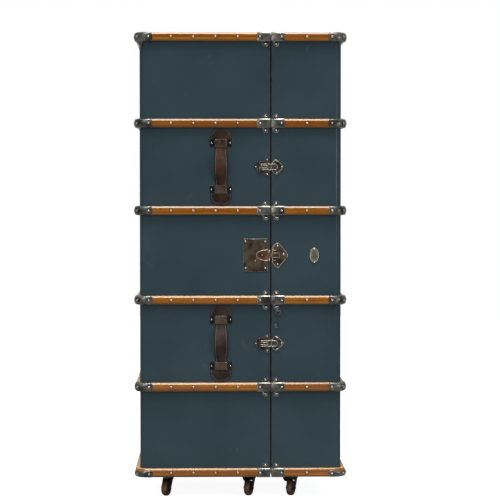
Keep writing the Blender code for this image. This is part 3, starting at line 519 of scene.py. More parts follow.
def wood_finish(name, dark, mid, pale, grain, varnish, foot=-1.0, lit_crown=9.0):
    """Stained and varnished wood, from a vector with the grain along its x.

    It has painted shade below its foot, and painted light above its crown, where it is pale and has no
    varnish.
    """
    material, tree, shader = finish(name, Specular_IOR_Level=0.05, Coat_Roughness=0.10, Coat_IOR=1.55)
    vector = grain(tree)
    wood = placed(tree, wood_grain, Vector=vector)
    tone = placed(tree, mottle, Scale=14.0)
    stain = mixed(tree, ranged(tree, wood["Streak"], 0.40, 0.66, 0.0, 1.0), mid, pale)
    depth = reckoned(tree, "ADD", wood["Pore"], reckoned(tree, "MULTIPLY", tone["Broad"], 0.6))
    up = axes_of(tree, vector)["Z"]
    # Painted shade along the lower edge, added to the dirt in the pores
    lower_shade = ranged(tree, up, foot - LOWER_SHADE_FADE, foot + LOWER_SHADE_FADE, 0.85, 0.0)
    dirt_and_shade = reckoned(tree, "MAXIMUM", ranged(tree, depth, 0.86, 1.12, 0.0, 0.75), lower_shade)
    # Painted light on the top, where the varnish is taken off
    bare_and_lit = ranged(tree, up, lit_crown, lit_crown + TOP_LIGHT_FADE, 0.0, TOP_LIGHT_SHARE)
    aged_and_lit = mixed(tree, bare_and_lit, mixed(tree, dirt_and_shade, stain, dark), BEECH_TOP_LIGHT)
    tree.links.new(ranged(tree, bare_and_lit, 0.0, TOP_LIGHT_SHARE, varnish, 0.0), shader.inputs["Coat Weight"])
    gloss = ranged(tree, wood["Pore"], 0.35, 0.65, 0.30, 0.46)
    wired(tree, shader, aged_and_lit, gloss, wood["Pore"], PORE_DEPTH)
    return material


def carried_grain(tree):
    """Socket of a mesh's own grain attribute."""
    return node(tree, "ShaderNodeAttribute", attribute_name="grain").outputs["Vector"]


def line_mesh(runs):
    """A mesh of lines, one through each run of points."""
    points, edges = [], []
    for run in runs:
        first = len(points)
        points += run
        edges += [(i, i + 1) for i in range(first, len(points) - 1)]
    lines = bpy.data.meshes.new("lines")
    lines.from_pydata(points, edges, [])
    return lines


def slat_lines(far, mouth, inward):
    """Lines for all the bands of one half, in the direction that keeps the outside on their right."""
    corners = [(mouth, BACK + SLAT_SEAT), (far - inward * SLAT_SEAT, BACK + SLAT_SEAT)]
    corners += [(x, -y) for x, y in reversed(corners)]
    return line_mesh([[(x, y, band) for x, y in corners[::inward]] for band in BANDS])


beech = wood_finish(
    "slat_beech", BEECH_DARK, BEECH, BEECH_PALE, carried_grain, 0.7, foot=LOWER_SHADE_TOP, lit_crown=TOP_LIGHT_FROM
)
slat_sweep = slat_tree()
for half, span in HALVES.items():
    mesh = grown(slat_sweep, slat_lines(*span), beech, Bend=CORNER_RADIUS + SLAT_SEAT)
    nodes = [f"{half}_slat_band_{number}" for number in range(1, BAND_COUNT + 1)]
    shown(f"{half}_slats", mesh, half, (), nodes)

# Corner caps
# Pressed steel caps sleeve every slat at the upright corners, swollen to a bulb at the bend.
# The top ones run down the upright edge in a flared tongue, and all of them are nailed on.
CAP_LIFT = 0.0011  # steel and paint over the slat
CAP_CHAMFER = 0.0044
CAP_EASE = 0.0008
CAP_LEG = 0.0363  # from the middle of the bend
CAP_STEPS = 30
CAP_TIP = 0.010  # length of its rounded end
TIP_SHARE = 0.3  # of its height, left at the very end
CAP_SWELL = 0.0030
SWELL_REACH = 0.0233
BEND_SWELL = 0.0010  # of a cap's half height
BEND_ROUND = 2.5  # power of the curve that its section swells to
BEND_REACH = 0.020
CAP_WAIST = 0.04  # share of its height
WAIST_PLACE = 0.0215
WAIST_REACH = 0.006
LOW_CAP_SHARE = 0.78  # of the slat's height under a bottom cap
CAP_CHAMFER_HIGHLIGHT = 0.2  # painted highlight on its upper chamfer
CAP_CREASE = 45
TONGUE_LENGTHS = {"main": 0.0195, "door": 0.0095}  # hammered down by hand, so unequal
TONGUE_ROOT = 0.003  # behind the cap
TONGUE_FLARE = 0.0125
TONGUE_THICKNESS = 0.0012
TONGUE_SINK = 0.0004
TONGUE_TIP = 0.0035  # half its width at its end
TONGUE_SPREAD = 0.0095  # more at its root
FLARE_POWER = 1.3
SPREAD_POWER = 1.5
TONGUE_STEPS = 10
TONGUE_SIDE_STEPS = 6
SCRATCH_DEPTH = 0.00015
STEEL_DARK = (0.031, 0.031, 0.028, 1)
STEEL = (0.131, 0.131, 0.120, 1)
STEEL_BRIGHT = (0.40, 0.395, 0.365, 1)
QUARTER = CORNER_RADIUS * math.pi / 4  # half the length of a bend


def metal_finish(name, dark, mid, bright, gloss=(0.26, 0.46), cover=0.62):
    """Old metal: dark stains, fine scratches, bright worn edges, and painted highlights where a piece marks
    them as edges.
    """
    material, tree, shader = finish(name, Metallic=0.92)
    tone = placed(tree, mottle, Scale=38.0)
    stain = mixed(tree, ranged(tree, tone["Broad"], 0.36, 0.60, 0.0, 1.0), dark, mid)
    # The mask brings both rubbed wear and the painted highlights marked on chamfers and nail crowns
    worn = mixed(tree, placed(tree, edge_wear_and_highlight, Scale=160.0, Cover=cover)["Mask"], stain, bright)
    stretched = {"Vector": own_place(tree), "Scale": (90.0, 90.0, 1400.0)}
    scratches = noise(tree, out_of(tree, "ShaderNodeMapping", stretched), 1.0, 4.0, 0.8)
    wired(tree, shader, worn, ranged(tree, tone["Fine"], 0.3, 0.7, *gloss), scratches, SCRATCH_DEPTH)
    return material


def joined(meshes):
    """One mesh of several, as separate closed bodies."""
    work = bmesh.new()
    for mesh in meshes:
        work.from_mesh(mesh)
    return finished(work)


def brightened_where(mesh, test, share=1.0, domain="FACE"):
    """Marks as edges the faces or points whose places pass a test, so that they are drawn bright: rubbed
    wear on rims and knuckles, painted highlight on chamfers.
    """
    mark = mesh.attributes.get("edge") or mesh.attributes.new("edge", "FLOAT", domain)
    places = [face.center for face in mesh.polygons]
    if domain == "POINT":
        places = [vertex.co for vertex in mesh.vertices]
    for i, place in enumerate(places):
        if test(place):
            mark.data[i].value = share
    return mesh


def chamfers_highlighted(mesh, band, share, domain):
    """Marks a cap's chamfers for a painted highlight, the upper one by a share and the lower one by half of
    it.
    """
    start = SLAT_HEIGHT / 2 - CAP_CHAMFER / 2
    upper = brightened_where(mesh, lambda place: place.z - band > start, share, domain)
    return brightened_where(upper, lambda place: band - place.z > start, share / 2, domain)


def corner_point(far, face, along, out):
    """Plan point near an upright corner of the case.

    It is a distance along the case from the middle of the bend, negative on the front or back and
    positive on the side, and a distance out from the case.
    """
    to_side, to_face = math.copysign(1, far), math.copysign(1, face)
    turn = (min(max(along / QUARTER, -1), 1) + 1) * math.pi / 4
    past = max(0.0, abs(along) - QUARTER)
    reach = CORNER_RADIUS + out
    x = far - to_side * (CORNER_RADIUS - reach * math.sin(turn) + (past if along < 0 else 0))
    y = face - to_face * (CORNER_RADIUS - reach * math.cos(turn) + (past if along > 0 else 0))
    return x, y


def bent_section(lift, bulge):
    """Section of a corner cap as (out, up) points: chamfered on its legs, and a bulb where it bulges."""
    half = SLAT_HEIGHT / 2 + CAP_LIFT + BEND_SWELL * bulge
    deep = SLAT_SEAT + SLAT_THICKNESS + lift
    low_corner = math.atan2(half - CAP_CHAMFER, deep)
    high_corner = math.atan2(half, deep - CAP_CHAMFER / CHAMFER_SLOPE)
    turns = [low_corner * i / 3 for i in range(3)]
    turns += [low_corner + (high_corner - low_corner) * i / 3 for i in range(3)]
    turns += [high_corner + (math.pi / 2 - high_corner) * i / 4 for i in range(5)]
    upper = []
    for turn in turns:
        across, rise = math.cos(turn), math.sin(turn)
        bevel = (deep + (half - CAP_CHAMFER) / CHAMFER_SLOPE) / (across + rise / CHAMFER_SLOPE)
        flat = min(deep / across, half / max(rise, 1e-6), bevel)
        bulb = ((across / deep) ** BEND_ROUND + (rise / half) ** BEND_ROUND) ** (-1 / BEND_ROUND)
        reach = flat + (bulb - flat) * bulge
        upper.append((across * reach, rise * reach))
    return [*((out, -up) for out, up in reversed(upper[1:])), *upper]


def corner_cap(far, face, band):
    """One cap over the bend of a band."""
    share = LOW_CAP_SHARE if band == BANDS[-1] else 1.0
    sink = (1 - share) * SLAT_HEIGHT / 2
    rings = []
    for i in range(CAP_STEPS + 1):
        along = CAP_LEG * math.sin((i / CAP_STEPS - 0.5) * math.pi)
        lift = CAP_LIFT + CAP_SWELL * math.exp(-((along / SWELL_REACH) ** 2))
        bulge = math.exp(-((along / BEND_REACH) ** 4))
        waist = CAP_WAIST * math.exp(-(((abs(along) - WAIST_PLACE) / WAIST_REACH) ** 2))
        into_tip = max(0.0, abs(along) - CAP_LEG + CAP_TIP) / CAP_TIP
        rounding = math.sqrt(max(0.0, 1 - into_tip**2))
        height = (1 - waist) * (TIP_SHARE + (1 - TIP_SHARE) * rounding) * share
        ring = []
        for out, up in bent_section(lift, bulge):
            ring.append((*corner_point(far, face, along, out), band + up * height - sink))
        rings.append(ring)
    return chamfers_highlighted(flattened(loft(rings)), band, CAP_CHAMFER_HIGHLIGHT, "POINT")


def corner_tongue(far, face, length):
    """The flared tongue under a top cap, down the upright edge."""
    start = BANDS[0] - SLAT_HEIGHT / 2 + TONGUE_ROOT
    rings = []
    for i in range(TONGUE_STEPS + 1):
        fall = i / TONGUE_STEPS
        out = TONGUE_THICKNESS + TONGUE_FLARE * (1 - fall) ** FLARE_POWER
        half = TONGUE_TIP + TONGUE_SPREAD * (1 - fall) ** SPREAD_POWER
        alongs = [half * (j / TONGUE_SIDE_STEPS - 1) for j in range(2 * TONGUE_SIDE_STEPS + 1)]
        outline = [corner_point(far, face, along, out) for along in alongs]
        outline += [corner_point(far, face, along, -TONGUE_SINK) for along in reversed(alongs)]
        rings.append([(*plan, start - (length + TONGUE_ROOT) * fall) for plan in outline])
    return loft(rings)


steel = metal_finish("worn_steel", STEEL_DARK, STEEL, STEEL_BRIGHT)
for half, (far, mouth, inward) in HALVES.items():
    caps = []
    for face in (FRONT, BACK):
        caps += [corner_cap(far, face, band) for band in BANDS]
        caps.append(corner_tongue(far, face, TONGUE_LENGTHS[half]))
    shown(f"{half}_corner_caps", creased(joined(caps), CAP_CREASE), half, (steel,))

# Split caps
# Where a slat ends at the split it has a straight steel sleeve, chamfered like the slat.
# Flat ears on the sleeve lie on the covering above and below the slat, and take a nail each.
SLEEVE_LENGTH = 0.041
SLEEVE_OVERHANG = 0.0006
SLEEVE_SOFTENING = 0.0005
# Painted highlight on a sleeve's upper chamfer, and half as much on its lower one
SLEEVE_CHAMFER_HIGHLIGHT = 0.9
SLEEVE_CREASE = 35
EAR_PLACE = 0.0150  # from the mouth
EAR_RISE = 0.0085  # of the nail above the slat
EAR_ROOT = 0.002  # under the sleeve
EAR_RADIUS = 0.0082
EAR_STEPS = 12
EAR_BASE = 0.0125
EAR_THICKNESS = 0.0016
EAR_FLOOR = 0.6 * EAR_THICKNESS  # inside its raised rim
EAR_SIDE = [(EAR_BASE, 0.0), (EAR_BASE, 0.0025), (EAR_BASE * 0.78, 0.0050), (EAR_RADIUS * 1.02, 0.0080)]
EAR_RINGS = [  # out from the case, and in from the edge
    (-0.0002, 0.0),
    (EAR_THICKNESS, 0.0),
    (EAR_THICKNESS, 0.0011),
    (EAR_FLOOR, 0.0017),
]
EAR_RUBBED = 0.9 * EAR_THICKNESS  # out from the case
EAR_RUB = 0.6


def clipped(points, cut):
    """A line with its inner corners cut off."""
    line = [points[0]]
    for before, corner, after in zip(points, points[1:], points[2:]):
        for end in (before, after):
            line.append(tuple(Vector(corner) + (Vector(end) - Vector(corner)).normalized() * cut))
    return [*line, points[-1]]


def sleeve_section():
    """Closed section of a sleeve as (out, up) points: flat on the case and chamfered like the slat."""
    half = SLAT_HEIGHT / 2 + CAP_LIFT
    deep = SLAT_SEAT + SLAT_THICKNESS + CAP_LIFT
    upper = [(deep, half - CAP_CHAMFER), (deep - CAP_CHAMFER / CHAMFER_SLOPE, half), (0.0, half)]
    return clipped([*((out, -up) for out, up in reversed(upper)), *upper], CAP_EASE)


def sleeve(mouth, inward, face, band):
    """One straight cap at the end of a band, front or back."""
    to_face = math.copysign(1, face)
    rings = []
    for along in (-SLEEVE_OVERHANG, SLEEVE_LENGTH):
        x = mouth - inward * along
        rings.append([(x, face + to_face * out, band + up) for out, up in sleeve_section()])
    return chamfers_highlighted(softened(loft(rings), SLEEVE_SOFTENING, 1, 40), band, SLEEVE_CHAMFER_HIGHLIGHT, "FACE")


def ear(mouth, inward, face, band, up):
    """A flat ear of a sleeve, with its rim raised."""
    to_face = math.copysign(1, face)
    centre = mouth - inward * EAR_PLACE
    root = band + up * (SLAT_HEIGHT / 2 - EAR_ROOT)
    top = arc((0, EAR_RISE + EAR_ROOT), EAR_RADIUS, 0, 180, EAR_STEPS)
    outline = [*EAR_SIDE, *top, *((-across, rise) for across, rise in reversed(EAR_SIDE))]
    rings = []
    for out, inset in EAR_RINGS:
        shrink = 1 - inset / EAR_RADIUS
        ring = []
        for across, rise in outline:
            height = EAR_RISE + (rise - EAR_RISE) * shrink
            ring.append((centre + across * shrink, face + to_face * out, root + up * height))
        rings.append(ring)
    return brightened_where(loft(rings), lambda place: abs(place.y - face) > EAR_RUBBED, EAR_RUB)


def ear_sides(band):
    """Sides of a band that have an ear: the top band has none above, and the bottom one none below."""
    return [up for up, last in ((1, BANDS[0]), (-1, BANDS[-1])) if band != last]


for half, (far, mouth, inward) in HALVES.items():
    caps = []
    for face in (FRONT, BACK):
        for band in BANDS:
            caps.append(sleeve(mouth, inward, face, band))
            caps += [ear(mouth, inward, face, band, up) for up in ear_sides(band)]
    shown(f"{half}_split_caps", creased(joined(caps), SLEEVE_CREASE), half, (steel,))

# Nails
# Domed nail heads hold the slats to the case: coppery on the wood, steel through the caps and ears.
# They sit about 70 mm apart along each face, and their crowns carry a painted highlight.
NAIL_RISE = 0.72  # height of a dome as a share of its radius
NAIL_HIGHLIGHT_FROM = 0.76  # share of its height where the painted highlight starts
SLAT_NAIL = 0.0055
CAP_NAIL = 0.0052
EAR_NAIL = 0.0055
CORNER_NAIL_PLACE = 0.029
MOUTH_NAIL_PLACE = 0.032
NAIL_PITCH = 0.070
NAIL_GLOSS = (0.16, 0.28)
# Bright colours of the nail crowns, as painted highlight; the key's worn edges take the steel one too
NAIL_HIGHLIGHT_AND_WEAR = (0.66, 0.64, 0.59, 1)
COPPER_GLOSS = (0.20, 0.32)
COPPER_DARK = (0.10, 0.045, 0.018, 1)
COPPER = (0.26, 0.14, 0.065, 1)
COPPER_HIGHLIGHT = (0.78, 0.60, 0.41, 1)


def carried(tree, name, kind):
    """Socket of a named value that each point of a seed mesh carries."""
    return out_of(tree, "GeometryNodeInputNamedAttribute", {"Name": name}, data_type=kind)


def turned_to(tree, vector):
    """Socket of the turn that stands a shape along a vector."""
    return out_of(tree, "FunctionNodeAlignRotationToVector", {"Vector": vector}, axis="Z")


def dotted(tree, given, points, shape, **turn_and_scale):
    """Ends a tree that puts a shape on points."""
    inputs = {"Points": points, "Instance": shape, **turn_and_scale}
    tree_end(tree, given, out_of(tree, "GeometryNodeInstanceOnPoints", inputs))
    return tree


def ball(tree, given):
    """A ball of one metre's radius, with a tree's own numbers of segments and rings."""
    inputs = {"Segments": given["Segments"], "Rings": given["Rings"], "Radius": 1.0}
    return out_of(tree, "GeometryNodeMeshUVSphere", inputs)


def nail_tree():
    """Puts a low dome on every point, turned to the point's facing and sized by its radius, with a painted
    highlight marked on its crown.
    """
    tree, given = geometry_tree("nails", {"Rise": NAIL_RISE, "Segments": 10, "Rings": 6})
    rise = axes_of(tree, out_of(tree, "GeometryNodeInputPosition"))["Z"]
    # Painted highlight: the crown of each dome is marked to take the bright colour
    lit_crown = ranged(tree, rise, NAIL_HIGHLIGHT_FROM, 1.0, 0.0, 1.0)
    wear_and_highlight_mark = {"Geometry": ball(tree, given), "Name": "edge", "Value": lit_crown}
    dome = out_of(tree, "GeometryNodeStoreNamedAttribute", wear_and_highlight_mark, data_type="FLOAT")
    turn = turned_to(tree, carried(tree, "facing", "FLOAT_VECTOR"))
    radius = carried(tree, "radius", "FLOAT")
    size = vector_of(tree, X=radius, Y=radius, Z=reckoned(tree, "MULTIPLY", radius, given["Rise"]))
    return dotted(tree, given, given["Geometry"], dome, Rotation=turn, Scale=size)


def seed_points(places):
    """Points with a facing and a radius each, as a mesh for a tree."""
    seed = bpy.data.meshes.new("places")
    seed.from_pydata([point for point, facing, radius in places], [], [])
    facings = seed.attributes.new("facing", "FLOAT_VECTOR", "POINT")
    facings.data.foreach_set("vector", [part for point, facing, radius in places for part in facing])
    radii = seed.attributes.new("radius", "FLOAT", "POINT")
    radii.data.foreach_set("value", [radius for point, facing, radius in places])
    return seed


nails_on_points = nail_tree()


def nailed(name, body, metal, nails):
    """Nail heads at (point, facing, radius) places, as one piece."""
    return shown(name, grown(nails_on_points, seed_points(nails), metal), body)


def between(start, end, pitch):
    """Evenly spaced places between two ends, neither included, about a pitch apart."""
    count = round(abs(end - start) / pitch)
    return [start + (end - start) * i / count for i in range(1, count)]


# The nail metals cover the whole marked crown, so their bright colour is all painted highlight
copper = metal_finish("copper_nails", COPPER_DARK, COPPER, COPPER_HIGHLIGHT, COPPER_GLOSS, FULL_COVER)
nail_steel = metal_finish("nail_steel", STEEL_DARK, STEEL, NAIL_HIGHLIGHT_AND_WEAR, NAIL_GLOSS, FULL_COVER)
SLAT_OUT = SLAT_SEAT + SLAT_THICKNESS
CAP_OUT = SLAT_OUT + CAP_LIFT
for half, (far, mouth, inward) in HALVES.items():
    outward = (-inward, 0, 0)
    on_slats, on_caps = [], []
    for band in BANDS:
        cap_middle = band - (SLAT_HEIGHT * (1 - LOW_CAP_SHARE) / 2 if band == BANDS[-1] else 0.0)
        for y in between(FRONT + CORNER_NAIL_PLACE, BACK - CORNER_NAIL_PLACE, NAIL_PITCH):
            on_slats.append(((far - inward * SLAT_OUT, y, band), outward, SLAT_NAIL))
        for face in (FRONT, BACK):
            to_face = math.copysign(1, face)
            facing = (0, to_face, 0)
            cap_face = face + to_face * CAP_OUT
            corner_x, mouth_x = far + inward * CORNER_NAIL_PLACE, mouth - inward * MOUTH_NAIL_PLACE
            for x in between(corner_x, mouth_x, NAIL_PITCH):
                on_slats.append(((x, face + to_face * SLAT_OUT, band), facing, SLAT_NAIL))
            on_caps.append(((corner_x, cap_face, cap_middle), facing, CAP_NAIL))
            on_caps.append(((mouth_x, cap_face, band), facing, CAP_NAIL))
            side_y = face - to_face * CORNER_NAIL_PLACE
            on_caps.append(((far - inward * CAP_OUT, side_y, cap_middle), outward, CAP_NAIL))
            bend = corner_point(far, face, 0.0, CAP_OUT + CAP_SWELL)
            on_caps.append(((*bend, cap_middle), (-inward, to_face, 0), CAP_NAIL))
            for up in ear_sides(band):
                height = band + up * (SLAT_HEIGHT / 2 + EAR_RISE)
                place = (mouth - inward * EAR_PLACE, face + to_face * EAR_FLOOR, height)
                on_caps.append((place, facing, EAR_NAIL))
    nailed(f"{half}_slat_nails", half, copper, on_slats)
    nailed(f"{half}_cap_nails", half, nail_steel, on_caps)

# Hinges
# Three pairs of pressed steel leaves hang the door half at the back, rolled into barrels round a pin.
# Slotted screws go through the leaves into the plywood, three to a leaf.
LEAF_FACE = BACK + 0.0023
LEAF_SOFTENING = 0.0006
SCREW_RADIUS = 0.0042
SCREW_RISE = 0.0011
SCREW_SLOT = 0.0011
SCREW_PLACES = [(-0.032, 0.024), (0.0, 0.016), (0.032, 0.024)]  # up from the middle, in from the mouth


def dressed(name, width):
    """A CAD node's own mesh with its edges rounded."""
    return softened(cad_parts[name].data, width)


def screw_tree():
    """Puts a slotted screw head on every point, turned to its facing, with the slots at random angles."""
    sizes = {"Radius": SCREW_RADIUS, "Rise": SCREW_RISE, "Slot": SCREW_SLOT, "Sides": 16, "Seed": 4}
    tree, given = geometry_tree("slotted_screws", sizes)
    depth = reckoned(tree, "MULTIPLY", given["Rise"], 2.0)
    rod = {"Vertices": given["Sides"], "Radius": given["Radius"], "Depth": depth}
    head = out_of(tree, "GeometryNodeMeshCylinder", rod)
    length = reckoned(tree, "MULTIPLY", given["Radius"], 3.0)
    size = vector_of(tree, X=length, Y=given["Slot"], Z=given["Rise"])
    bar = out_of(tree, "GeometryNodeMeshCube", {"Size": size})
    lift = vector_of(tree, Z=given["Rise"])
    raised = out_of(tree, "GeometryNodeTransform", {"Geometry": bar, "Translation": lift})
    cut = {"Mesh 1": head, "Mesh 2": raised}
    slotted = out_of(tree, "GeometryNodeMeshBoolean", cut, operation="DIFFERENCE")
    spin = node(tree, "FunctionNodeRandomValue", {"Seed": given["Seed"]}, data_type="FLOAT")
    angle = reckoned(tree, "MULTIPLY", spin.outputs["Value"], math.pi)
    twist = out_of(tree, "FunctionNodeAxisAngleToRotation", {"Axis": (0, 0, 1), "Angle": angle})
    both = {"Rotation": turned_to(tree, carried(tree, "facing", "FLOAT_VECTOR")), "Rotate By": twist}
    turn = out_of(tree, "FunctionNodeRotateRotation", both, rotation_space="LOCAL")
    return dotted(tree, given, given["Geometry"], slotted, Rotation=turn)


screws_on_points = screw_tree()
for half, (far, mouth, inward) in HALVES.items():
    screws = []
    for place in ("upper", "middle", "lower"):
        name = f"{place}_hinge_{half}_leaf"
        shown(f"{name}_dressed", dressed(name, LEAF_SOFTENING), half, (steel,), (name,))
        low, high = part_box(name)
        middle = (low.z + high.z) / 2
        for rise, across in SCREW_PLACES:
            screws.append(((mouth - inward * across, LEAF_FACE, middle + rise), (0, 1, 0), SCREW_RADIUS))
    mesh = grown(screws_on_points, seed_points(screws), steel)
    shown(f"{half}_hinge_screws", mesh, half)

# Lock plate
# A flat rectangle of blackened bronze on the main half, where the hasp closes down on it.
# It has a nail at each corner, and a small stud under the tip of the hasp.
PLATE_FACE = FRONT - 0.0023
PLATE_SOFTENING = 0.0006
PLATE_NAIL = 0.0047
PLATE_NAIL_SIDE = 0.0075  # in from the plate's sides
PLATE_NAIL_FOOT = 0.0115
PLATE_NAIL_TOP = 0.0085
STUD_PLACE = (0.0380, 0.0345)  # from the plate's left and foot
STUD_RADIUS = 0.0026
BRONZE_DARK = (0.030, 0.023, 0.017, 1)
BRONZE = (0.125, 0.094, 0.068, 1)
BRONZE_BRIGHT = (0.40, 0.34, 0.27, 1)


def front_nail(x, z, radius, face=PLATE_FACE):
    """Point, facing and radius of a nail on the front."""
    return (x, face, z), (0, -1, 0), radius


bronze = metal_finish("aged_bronze", BRONZE_DARK, BRONZE, BRONZE_BRIGHT)
low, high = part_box("lock_plate")
mesh = dressed("lock_plate", PLATE_SOFTENING)
shown("lock_plate_dressed", mesh, "main", (bronze,), ("lock_plate",))
nails = []
for x in (low.x + PLATE_NAIL_SIDE, high.x - PLATE_NAIL_SIDE):
    for z in (low.z + PLATE_NAIL_FOOT, high.z - PLATE_NAIL_TOP):
        nails.append(front_nail(x, z, PLATE_NAIL))
nails.append(front_nail(low.x + STUD_PLACE[0], low.z + STUD_PLACE[1], STUD_RADIUS))
nailed("lock_plate_nails", "main", nail_steel, nails)

# Hasp and hasp plate
# The hasp is a cast bronze tongue with a raised rim, which swings over the split onto the lock plate.
# It is hinged to a shield on the door half, which has a staple between two short bars and three nails.
FITTING_SOFTENING = 0.0005
HASP_GAP = 0.0003  # over the plate
HASP_THICKNESS = 0.0030
HASP_FACE = PLATE_FACE - HASP_GAP - HASP_THICKNESS
HASP_UNDERSIDE = PLATE_FACE - 0.00025
HASP_RIM = 0.0010
HASP_RIM_INSET = 0.0017
KNUCKLE_RISE = 0.0005  # over the hasp's face, where rubbing starts
BOSS_PLACE = 0.019  # from the tip
BOSS_RADIUS = 0.0036
HASP_SIDE = [  # from its tip, and half its height
    (0.0380, 0.0186),
    (0.0289, 0.0180),
    (0.0192, 0.0162),
    (0.0088, 0.0128),
    (0.0035, 0.0088),
    (0.0008, 0.0045),
    (0.0, 0.0),
]
SHIELD_SHARES = [(0.0, 0.62), (0.20, 0.93), (0.42, 1.0), (0.72, 0.58), (0.93, 0.24), (1.0, 0.0)]
SHIELD_RIM = 0.0011
SHIELD_RIM_INSET = 0.0022
SHIELD_DRAW = 0.8  # of an inset, at the root and the point
SHIELD_CROWN = 0.00015  # face of a shield over its CAD plate
SHIELD_NAILS = [(0.018, 0.029), (0.0370, 0.003), (0.018, -0.028)]  # from the root, and up
STAPLE_FACE = PLATE_FACE - 0.0038
STAPLE_HALF = 0.0070
STAPLE_REACH = 0.0230
STAPLE_BAR = 0.0010
ARM_RISE = 0.0158
ARM_ENDS = (0.001, 0.0130)  # from the root
RED_BRONZE = (0.200, 0.118, 0.078, 1)
RED_BRIGHT = (0.42, 0.29, 0.23, 1)


def tube(points, radius, closed=False):
    """A round bar through points."""
    curve = bpy.data.curves.new("tube", "CURVE")
    curve.dimensions = "3D"
    curve.bevel_depth = radius
    curve.bevel_resolution = 2
    curve.use_fill_caps = True
    spline = curve.splines.new("POLY")
    spline.points.add(len(points) - 1)
    for knot, point in zip(spline.points, points):
        knot.co = (*point, 1)
    spline.use_cyclic_u = closed
    return evaluated(helper(curve))


def bright_bar(outline, face, radius, closed=False):
    """A round bar along a line in (x, z) on the front, marked as an edge so that it is rubbed bright."""
    return brightened_where(tube([(x, face, z) for x, z in outline], radius, closed), lambda place: True)


def smooth_through(points, steps=5):
    """A rounder line through points, both ends kept."""
    ends = [points[0], *points, points[-1]]
    line = []
    for i in range(1, len(ends) - 2):
        a, b, c, d = (Vector(point) for point in ends[i - 1:i + 3])
        for j in range(steps):
            t = j / steps
            slope, curve, twist = c - a, 2 * a - 5 * b + 4 * c - d, 3 * b - a - 3 * c + d
            line.append(tuple((2 * b + slope * t + curve * t**2 + twist * t**3) / 2))
    return [*line, tuple(points[-1])]


def both_sides(upper):
    """A smooth line through points above the middle, and back under it to where it began."""
    return smooth_through([*upper, *((x, -z) for x, z in reversed(upper[:-1]))])


def shield_line(root, width, half_height, middle, inset=0.0):
    """Outline of a shield in (x, z), pointed away from the split, drawn in from its edge by an inset."""
    line = both_sides([(x * width, z * half_height) for x, z in SHIELD_SHARES])
    draw = SHIELD_DRAW * inset
    across, up = 1 - 2 * draw / width, 1 - inset / half_height
    return [(root + draw + x * across, middle + z * up) for x, z in line]


def hasp_line(tip, middle, inset=0.0):
    """Outline of the hasp's tongue in (x, z), drawn in from its edge by an inset."""
    length, half = HASP_SIDE[0]
    across, up = 1 - inset / length, 1 - inset / half
    line = both_sides([(tip + inset + x * across, z * up) for x, z in HASP_SIDE])
    return [(x, middle + z) for x, z in line]


def front_plate(outline, inner, outer):
    """A plate drawn in (x, z) between two y places on the front."""
    mesh = prism(outline, -inner, -outer)
    mesh.transform(Matrix.Rotation(math.pi / 2, 4, "X"))
    return mesh


def shield(*sizes):
    """A shield plate with a raised rim round it, from its root, width, half height and middle."""
    plate = front_plate(shield_line(*sizes), FRONT, PLATE_FACE - SHIELD_CROWN)
    rim = bright_bar(shield_line(*sizes, SHIELD_RIM_INSET), PLATE_FACE, SHIELD_RIM, True)
    return [softened(plate, PLATE_SOFTENING), rim]


low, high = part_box("hasp_plate")
middle, half_height = (low.z + high.z) / 2, (high.z - low.z) / 2
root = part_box("upper_clasp_catch")[0].x
upper, lower = middle + STAPLE_HALF, middle - STAPLE_HALF
staple = [(root, upper), (root + STAPLE_REACH, upper), (root + STAPLE_REACH, lower), (root, lower)]
pieces = [dressed("hasp_plate", FITTING_SOFTENING), bright_bar(staple, STAPLE_FACE, STAPLE_BAR, True)]
for rise in (ARM_RISE, -ARM_RISE):
    pieces.append(bright_bar([(root + x, middle + rise) for x in ARM_ENDS], PLATE_FACE, STAPLE_BAR))
pieces += shield(root, high.x - root, half_height, middle)
shown("hasp_plate_dressed", joined(pieces), "door", (bronze,), ("hasp_plate",))
nails = [front_nail(root + x, middle + z, PLATE_NAIL) for x, z in SHIELD_NAILS]
nailed("hasp_plate_nails", "door", nail_steel, nails)

red_bronze = metal_finish("red_bronze", BRONZE_DARK, RED_BRONZE, RED_BRIGHT, cover=0.75)
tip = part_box("hasp")[0].x
plate = front_plate(hasp_line(tip, middle), HASP_UNDERSIDE, HASP_FACE - SHIELD_CROWN)
tongue = softened(plate, FITTING_SOFTENING)
rim = bright_bar(hasp_line(tip, middle, HASP_RIM_INSET), HASP_FACE, HASP_RIM, True)
knuckles = dressed("hasp", FITTING_SOFTENING)
brightened_where(knuckles, lambda place: place.y < HASP_FACE - KNUCKLE_RISE)
shown("hasp_dressed", joined([knuckles, tongue, rim]), "hasp", (red_bronze,), ("hasp",))
boss = front_nail(tip + BOSS_PLACE, middle, BOSS_RADIUS, HASP_FACE)
nailed("hasp_boss", "hasp", red_bronze, [boss])

# Clasps
# Two smaller bronze clasps draw the halves together above and below the hasp.
# Each is a pointed base on the main half, a ribbed swinging tongue, and a shield catch on the door.
CLASP_RIB = 0.0009
CLASP_ROOT = 0.0075  # of the ribs, from the hinge end
CLASP_END = 0.0088  # radius of the rim round its tip
CLASP_END_STEPS = 12
CLASP_BAR_RISE = 0.0035
CLASP_BAR = 0.0200
CLASP_CROSSBARS = (0.0220, 0.0330)
CLASP_NAIL = 0.0034
BASE_NAIL_TIP = 0.0065  # in from the base's point, and from its top and foot
BASE_NAIL_SIDE = 0.0075
CATCH_NAIL_ROOT = 0.0160
CATCH_NAIL_EDGE = 0.0050
CATCH_NAIL_TIP = 0.0060
CLASP_DARK = (0.026, 0.024, 0.021, 1)
CLASP_BRONZE = (0.115, 0.106, 0.092, 1)
CLASP_BRIGHT = (0.36, 0.34, 0.29, 1)
clasp_bronze = metal_finish("clasp_bronze", CLASP_DARK, CLASP_BRONZE, CLASP_BRIGHT)
